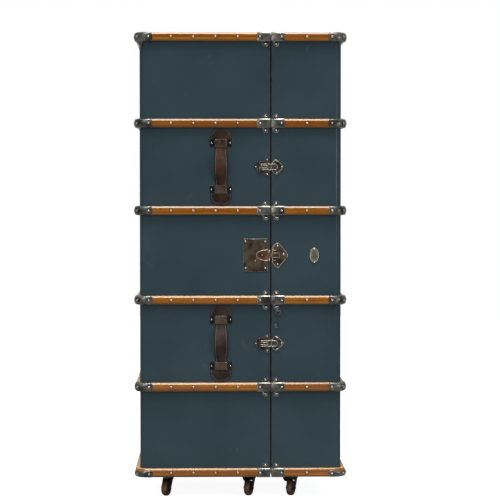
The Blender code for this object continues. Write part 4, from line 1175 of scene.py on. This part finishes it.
for place in ("upper", "lower"):
    name, base_name, catch_name = f"{place}_clasp", f"{place}_clasp_base", f"{place}_clasp_catch"
    mesh = dressed(base_name, FITTING_SOFTENING)
    shown(f"{base_name}_dressed", mesh, "main", (clasp_bronze,), (base_name,))

    low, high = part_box(name)
    middle, start = (low.z + high.z) / 2, low.x + CLASP_ROOT
    above, below = middle + CLASP_END, middle - CLASP_END
    end = arc((high.x - CLASP_END - CLASP_RIB, middle), CLASP_END, 90, -90, CLASP_END_STEPS)
    ribs = [[(start, above), *end, (start, below)]]
    for z in (middle - CLASP_BAR_RISE, middle + CLASP_BAR_RISE):
        ribs.append([(start, z), (start + CLASP_BAR, z)])
    ribs += [[(start + x, below), (start + x, above)] for x in CLASP_CROSSBARS]
    bars = [bright_bar(rib, HASP_FACE, CLASP_RIB) for rib in ribs]
    tongue = joined([dressed(name, FITTING_SOFTENING), *bars])
    shown(f"{place}_clasp_tongue", tongue, name, (clasp_bronze,), (name,))

    low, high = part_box(catch_name)
    half_height = (high.z - low.z) / 2
    pieces = [dressed(catch_name, FITTING_SOFTENING)]
    pieces += shield(low.x, high.x - low.x, half_height, middle)
    shown(f"{catch_name}_dressed", joined(pieces), "door", (clasp_bronze,), (catch_name,))

    base_low, base_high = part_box(base_name)
    nails = [front_nail(base_low.x + BASE_NAIL_TIP, middle, CLASP_NAIL)]
    for z in (base_high.z - BASE_NAIL_TIP, base_low.z + BASE_NAIL_TIP):
        nails.append(front_nail(base_high.x - BASE_NAIL_SIDE, z, CLASP_NAIL))
    nailed(f"{base_name}_nails", "main", nail_steel, nails)
    nails = []
    for rise in (CATCH_NAIL_EDGE - half_height, half_height - CATCH_NAIL_EDGE):
        nails.append(front_nail(low.x + CATCH_NAIL_ROOT, middle + rise, CLASP_NAIL))
    nails.append(front_nail(high.x - CATCH_NAIL_TIP, middle, CLASP_NAIL))
    nailed(f"{catch_name}_nails", "door", nail_steel, nails)

# Handles
# Each handle is a stitched leather strap with a padded, raised grip, two flat necks and two broad ends.
# Its necks slide a little in bridge-shaped bronze keepers with feet coloured nearly black, nailed to the
# main half.
NECK_WIDTH = 0.033
GRIP_WIDTH = 0.042
LOBE_TIP_WIDTH = 0.014
STRAP_SEAT = 0.0003
STRAP_THICKNESS = 0.004
GRIP_THICKNESS = 0.009
GRIP_ARCH = 0.019
NECK_START = 0.0582  # heights from the handle's middle
LOBE_START = 0.0873
LOBE_FULL = 0.0883
LOBE_ROUND = 2.4  # power of the curve round its ends
GRIP_ROUND = 0.8  # power of the swell of its grip
GRIP_STEPS = 14
LOBE_STEPS = 12
ACROSS_STEPS = 12
EDGE_SQUARE = 3.2  # how square the strap's edges are where it is flat
EDGE_ROUNDER = 1.2  # how much less so in the middle of the grip
KEEPER_SOFTENING = 0.0003
KEEPER_FOOT = 0.016
KEEPER_FACE = FRONT - 0.0019
KEEPER_NAIL = 0.0034
KEEPER_NAIL_PLACE = 0.0052  # from its edge
FOOT_DARK = (0.008, 0.008, 0.008, 1)
FOOT = (0.026, 0.025, 0.023, 1)
STITCH_INSET = 0.0034
STITCH_PITCH = 0.0042
STITCH_HALF = 0.0015
STITCH_RADIUS = 0.00070
STITCH_GRIP_STEPS = 16
STITCH_LOBE_STEPS = 14
THREAD_TWIST = 5200.0  # radians to the metre
THREAD_DEPTH = 0.0001
HIDE_DEPTH = 0.0004
LEATHERS = {
    "upper": ((0.013, 0.007, 0.005, 1), (0.050, 0.024, 0.016, 1)),
    "lower": ((0.011, 0.008, 0.007, 1), (0.037, 0.024, 0.021, 1)),
}
LEATHER_WORN = (0.13, 0.070, 0.045, 1)
THREAD_SHADE = (0.095, 0.076, 0.064, 1)
THREAD = (0.25, 0.21, 0.18, 1)


def strap_half_width(height, lobe_width, end):
    """Half the strap's width at a height from the handle's middle, which it is an end's length from."""
    reach = abs(height)
    if reach > LOBE_START:
        share = min(1.0, max(0.0, reach - LOBE_FULL) / (end - LOBE_FULL))
        return max(LOBE_TIP_WIDTH, lobe_width * math.sqrt(1 - share**LOBE_ROUND)) / 2
    if reach > NECK_START:
        return NECK_WIDTH / 2
    swell = math.cos(reach / NECK_START * math.pi / 2) ** GRIP_ROUND
    return (NECK_WIDTH + (GRIP_WIDTH - NECK_WIDTH) * swell) / 2


def strap_depth(height, share, outside):
    """Distance out from the case of the strap's inner or outer face, at a share of its half width."""
    rise = math.cos(min(1.0, abs(height) / NECK_START) * math.pi / 2) ** 2
    half = (STRAP_THICKNESS + (GRIP_THICKNESS - STRAP_THICKNESS) * rise) / 2
    square = EDGE_SQUARE - EDGE_ROUNDER * rise
    bulge = max(0.0, 1 - abs(share) ** (2 * square)) ** (1 / (1 + square))
    return STRAP_SEAT + GRIP_ARCH * rise + half * (1 + bulge * (1 if outside else -1))


def strap_mesh(x, z, lobe_width, end):
    """The strap as rings of points from its lower end to its upper end."""
    upper = [NECK_START * i / GRIP_STEPS for i in range(1, GRIP_STEPS + 1)]
    upper += [LOBE_START, LOBE_FULL]
    for i in range(1, LOBE_STEPS + 1):
        upper.append(LOBE_FULL + (end - LOBE_FULL) * math.sin(i / LOBE_STEPS * math.pi / 2))
    shares = [math.sin((i / ACROSS_STEPS - 0.5) * math.pi) for i in range(ACROSS_STEPS + 1)]
    rings = []
    for height in [*(-height for height in reversed(upper)), 0.0, *upper]:
        half = strap_half_width(height, lobe_width, end)
        ring = []
        for share, outside in [(s, True) for s in shares] + [(s, False) for s in shares[-2:0:-1]]:
            ring.append((x + share * half, FRONT - strap_depth(height, share, outside), z + height))
        rings.append(ring)
    return loft(rings)


def stitch_lines(x, z, lobe_width, end):
    """Lines of stitches on the strap's outer face: down both sides of the grip and round both ends."""
    grip = [NECK_START * (i / STITCH_GRIP_STEPS - 1) for i in range(2 * STITCH_GRIP_STEPS + 1)]
    lobe_length = end - LOBE_FULL - STITCH_INSET
    lobe = []
    for i in range(STITCH_LOBE_STEPS + 1):
        lobe.append(LOBE_FULL + lobe_length * math.sin(i / STITCH_LOBE_STEPS * math.pi / 2))
    paths = [[(height, side) for height in grip] for side in (1, -1)]
    for sign in (1, -1):
        paths.append([(sign * h, 1) for h in lobe] + [(sign * h, -1) for h in reversed(lobe)])
    runs = []
    for path in paths:
        run = []
        for height, side in path:
            half = strap_half_width(height, lobe_width, end)
            share = max(0.0, 1 - STITCH_INSET / half)
            run.append((x + side * share * half, FRONT - strap_depth(height, share, True), z + height))
        runs.append(run)
    return line_mesh(runs)


def stitch_tree():
    """Lays short rounded stitches end to end along lines."""
    sizes = {"Pitch": STITCH_PITCH, "Length": STITCH_HALF, "Thread": STITCH_RADIUS}
    tree, given = geometry_tree("stitches", {**sizes, "Segments": 6, "Rings": 5})
    line = out_of(tree, "GeometryNodeMeshToCurve", {"Mesh": given["Geometry"]})
    spaced = {"Curve": line, "Length": given["Pitch"]}
    dots = out_of(tree, "GeometryNodeResampleCurve", spaced, mode="LENGTH")
    turn = turned_to(tree, out_of(tree, "GeometryNodeInputTangent"))
    size = vector_of(tree, X=given["Thread"], Y=given["Thread"], Z=given["Length"])
    return dotted(tree, given, dots, ball(tree, given), Rotation=turn, Scale=size)


def leather_finish(name, dark, pale):
    """Oiled leather with a pebbled face, dark where it is handled least and rubbed in patches."""
    material, tree, shader = finish(name, Specular_IOR_Level=0.1)
    tone = placed(tree, mottle, Scale=22.0)
    hide = mixed(tree, ranged(tree, tone["Broad"], 0.34, 0.64, 0.0, 1.0), dark, pale)
    rubs = ranged(tree, noise(tree, own_place(tree), 55.0, 6.0, 1.2), 0.60, 0.76, 0.0, 0.32)
    worn = mixed(tree, rubs, hide, LEATHER_WORN)
    gloss = ranged(tree, tone["Fine"], 0.3, 0.7, 0.46, 0.66)
    wired(tree, shader, worn, gloss, placed(tree, pebble, Size=620.0)["Height"], HIDE_DEPTH)
    return material


def thread_finish():
    """Waxed linen thread, with its twist as fine slanted waves."""
    material, tree, shader = finish("linen_thread", Specular_IOR_Level=0.3)
    axes = axes_of(tree, own_place(tree))
    slant = reckoned(tree, "ADD", axes["X"], axes["Z"])
    twist = reckoned(tree, "SINE", reckoned(tree, "MULTIPLY", slant, THREAD_TWIST))
    tone = mixed(tree, ranged(tree, twist, -1.0, 1.0, 0.0, 1.0), THREAD_SHADE, THREAD)
    wired(tree, shader, tone, ranged(tree, twist, -1.0, 1.0, 0.6, 0.8), twist, THREAD_DEPTH)
    return material


thread = thread_finish()
stitching = stitch_tree()
keeper_feet = metal_finish("keeper_feet", FOOT_DARK, FOOT, BRONZE)
for place, (dark, pale) in LEATHERS.items():
    name, body = f"{place}_handle_strap", f"{place}_handle"
    low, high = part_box(name)
    strap_sizes = ((low.x + high.x) / 2, (low.z + high.z) / 2, high.x - low.x, (high.z - low.z) / 2)
    leather = leather_finish(f"{place}_leather", dark, pale)
    mesh = strap_mesh(*strap_sizes)
    strap = shown(f"{place}_strap", mesh, body, (leather,), (name,))
    stitches = grown(stitching, stitch_lines(*strap_sizes), thread)
    shown(f"{place}_strap_stitches", stitches, body)
    nails = []
    for side in ("upper", "lower"):
        name = f"{place}_handle_{side}_keeper"
        low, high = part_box(name)
        mesh = dressed(name, KEEPER_SOFTENING)
        for face in mesh.polygons:
            on_bridge = low.x + KEEPER_FOOT < face.center.x < high.x - KEEPER_FOOT
            face.material_index = 0 if on_bridge else 1
        shown(f"{name}_dressed", mesh, "main", (bronze, keeper_feet), (name,))
        for x in (low.x + KEEPER_NAIL_PLACE, high.x - KEEPER_NAIL_PLACE):
            nails.append(front_nail(x, (low.z + high.z) / 2, KEEPER_NAIL, KEEPER_FACE))
    nailed(f"{place}_keeper_nails", "main", nail_steel, nails)

# Plaque
# A small pressed brass oval with a soft point at its foot and two raised rims, left blank.
# Three fine pins hold it on the middle of the door half.
PLAQUE_STEPS = 48
PLAQUE_POINT = 0.28  # narrowing at its foot
PLAQUE_RIMS = [(0.0014, 0.0009), (0.0058, 0.00045)]  # in from the edge, and radius
PIN_RADIUS = 0.0012
PIN_PLACES = [(0.0, 0.0195), (-0.0085, -0.0095), (0.0085, -0.0095)]  # from the plaque's middle
BRASS_DARK = (0.105, 0.100, 0.072, 1)
BRASS = (0.240, 0.228, 0.178, 1)
BRASS_BRIGHT = (0.50, 0.48, 0.40, 1)


def plaque_line(centre, size, inset):
    """The plaque's outline in (x, z), drawn in from its edge by an inset."""
    points = []
    for i in range(PLAQUE_STEPS):
        angle = math.tau * i / PLAQUE_STEPS
        narrowing = 1 - PLAQUE_POINT * max(0.0, -math.sin(angle)) ** 3
        across = (size.x / 2 - inset) * math.cos(angle) * narrowing
        points.append((centre.x + across, centre.z + (size.z / 2 - inset) * math.sin(angle)))
    return points


low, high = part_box("blank_plaque")
centre, size = (low + high) / 2, high - low
pieces = [softened(front_plate(plaque_line(centre, size, 0.0), high.y, low.y), FITTING_SOFTENING)]
for inset, radius in PLAQUE_RIMS:
    pieces.append(bright_bar(plaque_line(centre, size, inset), low.y, radius, True))
brass = metal_finish("plaque_brass", BRASS_DARK, BRASS, BRASS_BRIGHT)
shown("plaque", joined(pieces), "door", (brass,), ("blank_plaque",))
pins = [front_nail(centre.x + x, centre.z + z, PIN_RADIUS, low.y) for x, z in PIN_PLACES]
nailed("plaque_pins", "door", nail_steel, pins)

# Key and its nail
# A spare key hangs by its ring from a nail under the fourth slat of the door half.
# The key is filed steel, with two collars under the ring and one cut in its bit.
BOW_WIRE = 0.0014
BOW_RADIUS = 0.0072
BOW_STEPS = 48
COLLAR_DROPS = (0.0020, 0.0056)  # under the ring
COLLAR_HEIGHT = 0.0012
COLLAR_RADIUS = 0.0024
BIT_HEIGHT = 0.010
BIT_SOFTENING = 0.0003
CUT_LOW = 0.0034  # from the bit's foot
CUT_HIGH = 0.0054
CUT_DEPTH = 0.0032
SHANK_RADIUS = 0.0016
HEAD_DEPTH = 0.0012
HEAD_STEPS = 16
HEAD_CROWN = [(0.0008, 1.0), (0.0003, 0.72), (0.0, 0.3)]  # back from its top, and share of its radius
KEY_DARK = (0.05, 0.05, 0.05, 1)
KEY_STEEL = (0.21, 0.21, 0.21, 1)


def circle(radius, count):
    """Points round the origin, evenly spaced."""
    return arc((0, 0), radius, 0, 360 - 360 / count, count - 1)


low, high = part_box("key")
key_x, key_y = high.x - BOW_RADIUS - BOW_WIRE, (low.y + high.y) / 2
bow_z = high.z - BOW_RADIUS - BOW_WIRE
ring_foot = bow_z - BOW_RADIUS
ring = tube([(key_x + x, key_y, bow_z + z) for x, z in circle(BOW_RADIUS, BOW_STEPS)], BOW_WIRE, True)
pieces = [ring, tube([(key_x, key_y, ring_foot), (key_x, key_y, low.z)], BOW_WIRE)]
for drop in COLLAR_DROPS:
    ends = [(key_x, key_y, ring_foot - drop), (key_x, key_y, ring_foot - drop - COLLAR_HEIGHT)]
    pieces.append(tube(ends, COLLAR_RADIUS))
foot = low.z + BOW_WIRE
bit_line = [(key_x, foot), (low.x, foot), (low.x, foot + CUT_LOW), (low.x + CUT_DEPTH, foot + CUT_LOW)]
bit_line += [(low.x + CUT_DEPTH, foot + CUT_HIGH), (low.x, foot + CUT_HIGH)]
bit_line += [(low.x, foot + BIT_HEIGHT), (key_x, foot + BIT_HEIGHT)]
bit = front_plate(bit_line, key_y + BOW_WIRE / 2, key_y - BOW_WIRE / 2)
pieces.append(softened(bit, BIT_SOFTENING))
key_steel = metal_finish("key_steel", KEY_DARK, KEY_STEEL, NAIL_HIGHLIGHT_AND_WEAR)
shown("spare_key", joined(pieces), "key", (key_steel,), ("key",))

low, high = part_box("key_nail")
nail_x, nail_z = (low.x + high.x) / 2, (low.z + high.z) / 2
head = (high.x - low.x) / 2
shank = tube([(nail_x, high.y, nail_z), (nail_x, low.y + HEAD_DEPTH, nail_z)], SHANK_RADIUS)
sections = [(HEAD_DEPTH, SHANK_RADIUS), (HEAD_DEPTH, head)]
sections += [(back, head * share) for back, share in HEAD_CROWN]
rings = []
for back, radius in sections:
    rings.append([(nail_x + x, low.y + back, nail_z + z) for x, z in circle(radius, HEAD_STEPS)])
shown("key_hook", joined([shank, loft(rings)]), "door", (key_steel,), ("key_nail",))

# Casters
# Six swivel casters stand under the floor boards, two of them under the door half.
# Their wheels are turned wood with dark rims; the pressed steel forks are riveted over the axles.
CASTER_YAW = math.radians(-20)
CASTER_TRAIL = 0.020
WHEEL_RADIUS = 0.025
WHEEL_STEPS = 48
WHEEL_CREASE = 50
TREAD_START = 0.02  # radius from which a wheel is fitted to its CAD node's
WHEEL_STATIONS = [  # from the wheel's middle, and radius
    (0.0100, 0.0034),
    (0.0100, 0.0080),
    (0.0088, 0.0092),
    (0.0088, 0.0168),
    (0.0100, 0.0180),
    (0.0099, 0.0198),
    (0.0090, 0.0217),
    (0.0072, 0.0234),
    (0.0046, 0.0245),
    (0.0018, 0.0249),
]
DARKENED_FROM = 0.0060  # from the wheel's middle
DARKENED_FULL = 0.0085
FIBRE_DEPTH = 0.0002
FORK_SOFTENING = 0.0005
FORK_WEB = [(0.0000, 0.0462), (0.0016, 0.0462), (0.0078, 0.0535), (0.0062, 0.0535)]  # behind the stem, up
FORK_WEB_HALF = 0.0115
WEB_SOFTENING = 0.0003
RIVET_PLACE = 0.0142
RIVET_RADIUS = 0.0046
IRON_GLOSS = (0.38, 0.58)
WHEEL_DARK = (0.014, 0.009, 0.005, 1)
WHEEL_WOOD = (0.085, 0.042, 0.013, 1)
WHEEL_PALE = (0.150, 0.078, 0.026, 1)
IRON_DARK = (0.012, 0.012, 0.012, 1)
IRON = (0.060, 0.060, 0.062, 1)


def wheel_mesh(centre, tread):
    """A turned wheel on its axle line, which keeps each point's place in the wood."""
    stations = [*WHEEL_STATIONS, *((-x, radius) for x, radius in reversed(WHEEL_STATIONS))]
    rings = []
    for x, radius in stations:
        fitted = radius * tread / WHEEL_RADIUS if radius > TREAD_START else radius
        rings.append([(x, *point) for point in circle(fitted, WHEEL_STEPS)])
    mesh = creased(loft(rings), WHEEL_CREASE)
    grain = mesh.attributes.new("grain", "FLOAT_VECTOR", "POINT")
    grain.data.foreach_set("vector", [part for vertex in mesh.vertices for part in vertex.co])
    mesh.transform(Matrix.Translation(centre) @ Matrix.Rotation(CASTER_YAW, 4, "Z"))
    return mesh


def wheel_finish():
    """Dark turned wood: growth rings round the tread, and rims darkened nearly black."""
    material, tree, shader = finish("wheel_wood", Coat_Weight=0.12, Coat_Roughness=0.3)
    vector = carried_grain(tree)
    across = reckoned(tree, "ABSOLUTE", axes_of(tree, vector)["X"])
    waves = {"Vector": vector, "Scale": 160.0, "Distortion": 6.0, "Detail": 3.0}
    rings = node(tree, "ShaderNodeTexWave", waves).outputs["Fac"]
    fibres = noise(tree, vector, 900.0, 3.0)
    wood = mixed(tree, rings, WHEEL_WOOD, WHEEL_PALE)
    darkened_sides = mixed(tree, ranged(tree, across, DARKENED_FROM, DARKENED_FULL, 0.0, 0.9), wood, WHEEL_DARK)
    wired(tree, shader, darkened_sides, ranged(tree, fibres, 0.3, 0.7, 0.38, 0.6), fibres, FIBRE_DEPTH)
    return material


wheel_wood = wheel_finish()
iron = metal_finish("dark_iron", IRON_DARK, IRON, STEEL, IRON_GLOSS, 0.5)
yaw = Matrix.Rotation(CASTER_YAW, 4, "Z")
upended = Matrix.Rotation(math.pi / 2, 4, "Z") @ Matrix.Rotation(math.pi / 2, 4, "X")
axle = Matrix.Rotation(CASTER_YAW, 3, "Z") @ Vector((1, 0, 0))
for row in ("front", "rear"):
    for place in ("left", "middle", "door"):
        name = f"{row}_{place}"
        wheel_node, fork_node = f"{name}_caster_wheel", f"{name}_caster_fork"
        low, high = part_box(wheel_node)
        centre = (low + high) / 2
        wheel = wheel_mesh(centre, high.z - centre.z)
        shown(f"{name}_wheel", wheel, f"{name}_wheel", (wheel_wood,), (wheel_node,))
        stem = Matrix.Translation((centre.x, centre.y, 0)) @ yaw @ Matrix.Translation((0, CASTER_TRAIL, 0))
        web = prism(FORK_WEB, -FORK_WEB_HALF, FORK_WEB_HALF)
        web.transform(stem @ upended)
        fork = joined([dressed(fork_node, FORK_SOFTENING), softened(web, WEB_SOFTENING)])
        shown(f"{name}_fork", fork, f"{name}_fork", (iron,), (fork_node,))
        rivets = [(centre + axle * RIVET_PLACE * side, axle * side, RIVET_RADIUS) for side in (1, -1)]
        nailed(f"{name}_axle_rivets", f"{name}_fork", iron, rivets)

# Shelves and glass rack
# Two mahogany shelves and a slotted rack for stemmed glasses stand between the walls of the main half.
# Their boards are planed, stained and waxed, with the arrises taken off.
BOARD_SOFTENING = 0.0012
MAHOGANY_DARK = (0.045, 0.012, 0.004, 1)
MAHOGANY = (0.135, 0.042, 0.014, 1)
MAHOGANY_PALE = (0.225, 0.085, 0.032, 1)


def board_grain(tree):
    """Socket of a vector with the grain from front to back, or across on boards that face those ways."""
    place = own_place(tree)
    axes = axes_of(tree, place)
    front_to_back = vector_of(tree, X=axes["Y"], Y=axes["X"], Z=axes["Z"])
    facing = axes_of(tree, node(tree, "ShaderNodeTexCoord").outputs["Normal"])["Y"]
    faces_back = reckoned(tree, "GREATER_THAN", reckoned(tree, "ABSOLUTE", facing), 0.7)
    return mixed(tree, faces_back, front_to_back, place)


mahogany = wood_finish("mahogany", MAHOGANY_DARK, MAHOGANY, MAHOGANY_PALE, board_grain, 0.2)
for name in ("upper_shelf", "lower_shelf", "glass_rack"):
    shown(f"{name}_board", dressed(name, BOARD_SOFTENING), "main", (mahogany,), (name,))

# Drawer case and drawers
# A mahogany carcass with a middle partition holds two open-topped drawers side by side.
# Each drawer has a finger notch in its front, in place of a knob.
DRAWER_SOFTENING = 0.0010
mesh = dressed("drawer_case", BOARD_SOFTENING)
shown("drawer_carcass", mesh, "main", (mahogany,), ("drawer_case",))
for name in ("front_drawer", "rear_drawer"):
    shown(f"{name}_box", dressed(name, DRAWER_SOFTENING), name, (mahogany,), (name,))

# Bottle bins
# Three mahogany trays across the door half keep bottles upright behind a fence.
# A brass strip lies along the top of each fence, where bottles would rub the wood.
STRIP_THICKNESS = 0.0012
STRIP_SIDES = (0.0015, 0.0075)  # from the fence's outer face
STRIP_SHORT = 0.002  # of each end of the fence
STRIP_SOFTENING = 0.0004
for place in ("lower", "middle", "upper"):
    name = f"{place}_bottle_bin"
    shown(f"{name}_tray", dressed(name, BOARD_SOFTENING), "door", (mahogany,), (name,))
    low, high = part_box(name)
    strip_low = (low.x + STRIP_SIDES[0], low.y + STRIP_SHORT, high.z)
    strip_high = (low.x + STRIP_SIDES[1], high.y - STRIP_SHORT, high.z + STRIP_THICKNESS)
    strip = softened(block(strip_low, strip_high), STRIP_SOFTENING)
    shown(f"{name}_strip", strip, "door", (brass,))

# Studio
# A pale floor and a white backdrop, under a soft sun overhead and soft boxes at front left and right.
# The camera stands where the photograph was taken, far back with a long lens.
CAMERA_PLACE = (-0.090, -6.554, 0.973)
CAMERA_YAW = math.radians(-1.548)
CAMERA_PITCH = math.radians(-1.690)
CAMERA_LENS = 144.35
CAMERA_SHIFT = -0.0322
FLOOR_HALF = 9
FLOOR_THICKNESS = 0.02
FLOOR_SHADE = (0.36, 0.36, 0.36, 1)
FLOOR_PALE = (0.40, 0.40, 0.40, 1)
BLACK = (0, 0, 0, 1)
WHITE = (1, 1, 1, 1)
COOL_WHITE = (0.94, 0.97, 1.0, 1)


def soft_box(name, place, aim, size, power):
    """A rectangular area light at a place, turned to a point."""
    data = bpy.data.lights.new(name, "AREA")
    data.shape = "RECTANGLE"
    data.size, data.size_y = size
    data.energy = power
    light = in_scene(name, data)
    light.location = place
    light.rotation_mode = "QUATERNION"
    light.rotation_quaternion = (Vector(aim) - Vector(place)).to_track_quat("-Z", "Y")


soft_box("front_box", place=(-2.2, -5.2, 3.3), aim=(0.0, 0.0, 0.7), size=(3.0, 2.0), power=66)
soft_box("right_box", place=(2.65, -3.5, 1.12), aim=(0.3, -0.24, 1.05), size=(0.5, 0.5), power=34)
overhead = bpy.data.lights.new("overhead", "SUN")
overhead.energy = 3.0
overhead.angle = math.radians(28)
overhead.color = (1.0, 0.94, 0.84)
in_scene("overhead", overhead).rotation_euler = (math.radians(21), math.radians(-3), 0)

floor_material, tree, shader = finish("pale_floor", Roughness=0.9, Emission_Strength=1.0)
floor_colour = mixed(tree, noise(tree, own_place(tree), 3.0), FLOOR_SHADE, FLOOR_PALE)
tree.links.new(floor_colour, shader.inputs["Base Color"])
distance = node(tree, "ShaderNodeVectorMath", {0: own_place(tree)}, operation="LENGTH").outputs["Value"]
fade = ranged(tree, distance, 0.3, 1.3, 0.92, 1.0)
camera_rays = node(tree, "ShaderNodeLightPath").outputs["Is Camera Ray"]
glow = mixed(tree, reckoned(tree, "MULTIPLY", fade, camera_rays), BLACK, WHITE)
tree.links.new(glow, shader.inputs["Emission Color"])
corners = [(-FLOOR_HALF, -FLOOR_HALF), (FLOOR_HALF, -FLOOR_HALF)]
corners += [(FLOOR_HALF, FLOOR_HALF), (-FLOOR_HALF, FLOOR_HALF)]
floor = in_scene("floor", prism(corners, -FLOOR_THICKNESS, 0.0))
floor.data.materials.append(floor_material)

world = bpy.data.worlds.new("studio")
world.use_nodes = True
bpy.context.scene.world = world
sky = world.node_tree
seen = sky.nodes["Background"]
seen.inputs["Color"].default_value = WHITE
toward = axes_of(sky, node(sky, "ShaderNodeTexCoord").outputs["Generated"])
ceiling = ranged(sky, toward["Z"], 0.0, 1.0, 0.10, 1.0)
backdrop = ranged(sky, toward["Y"], 0.1, 0.6, 0.0, 0.6)
brightness = reckoned(sky, "MAXIMUM", ceiling, backdrop)
fill = out_of(sky, "ShaderNodeBackground", {"Color": COOL_WHITE, "Strength": brightness})
camera_rays = node(sky, "ShaderNodeLightPath").outputs["Is Camera Ray"]
both = out_of(sky, "ShaderNodeMixShader", {0: camera_rays, 1: fill, 2: seen.outputs[0]})
sky.links.new(both, sky.nodes["World Output"].inputs["Surface"])

camera_data = bpy.data.cameras.new("camera")
camera_data.sensor_width = 36
camera_data.lens = CAMERA_LENS
camera_data.shift_x = CAMERA_SHIFT
camera = in_scene("camera", camera_data)
camera.location = CAMERA_PLACE
camera.rotation_euler = (math.pi / 2 + CAMERA_PITCH, 0, CAMERA_YAW)
bpy.context.scene.camera = camera
bpy.context.scene.view_settings.view_transform = "Standard"
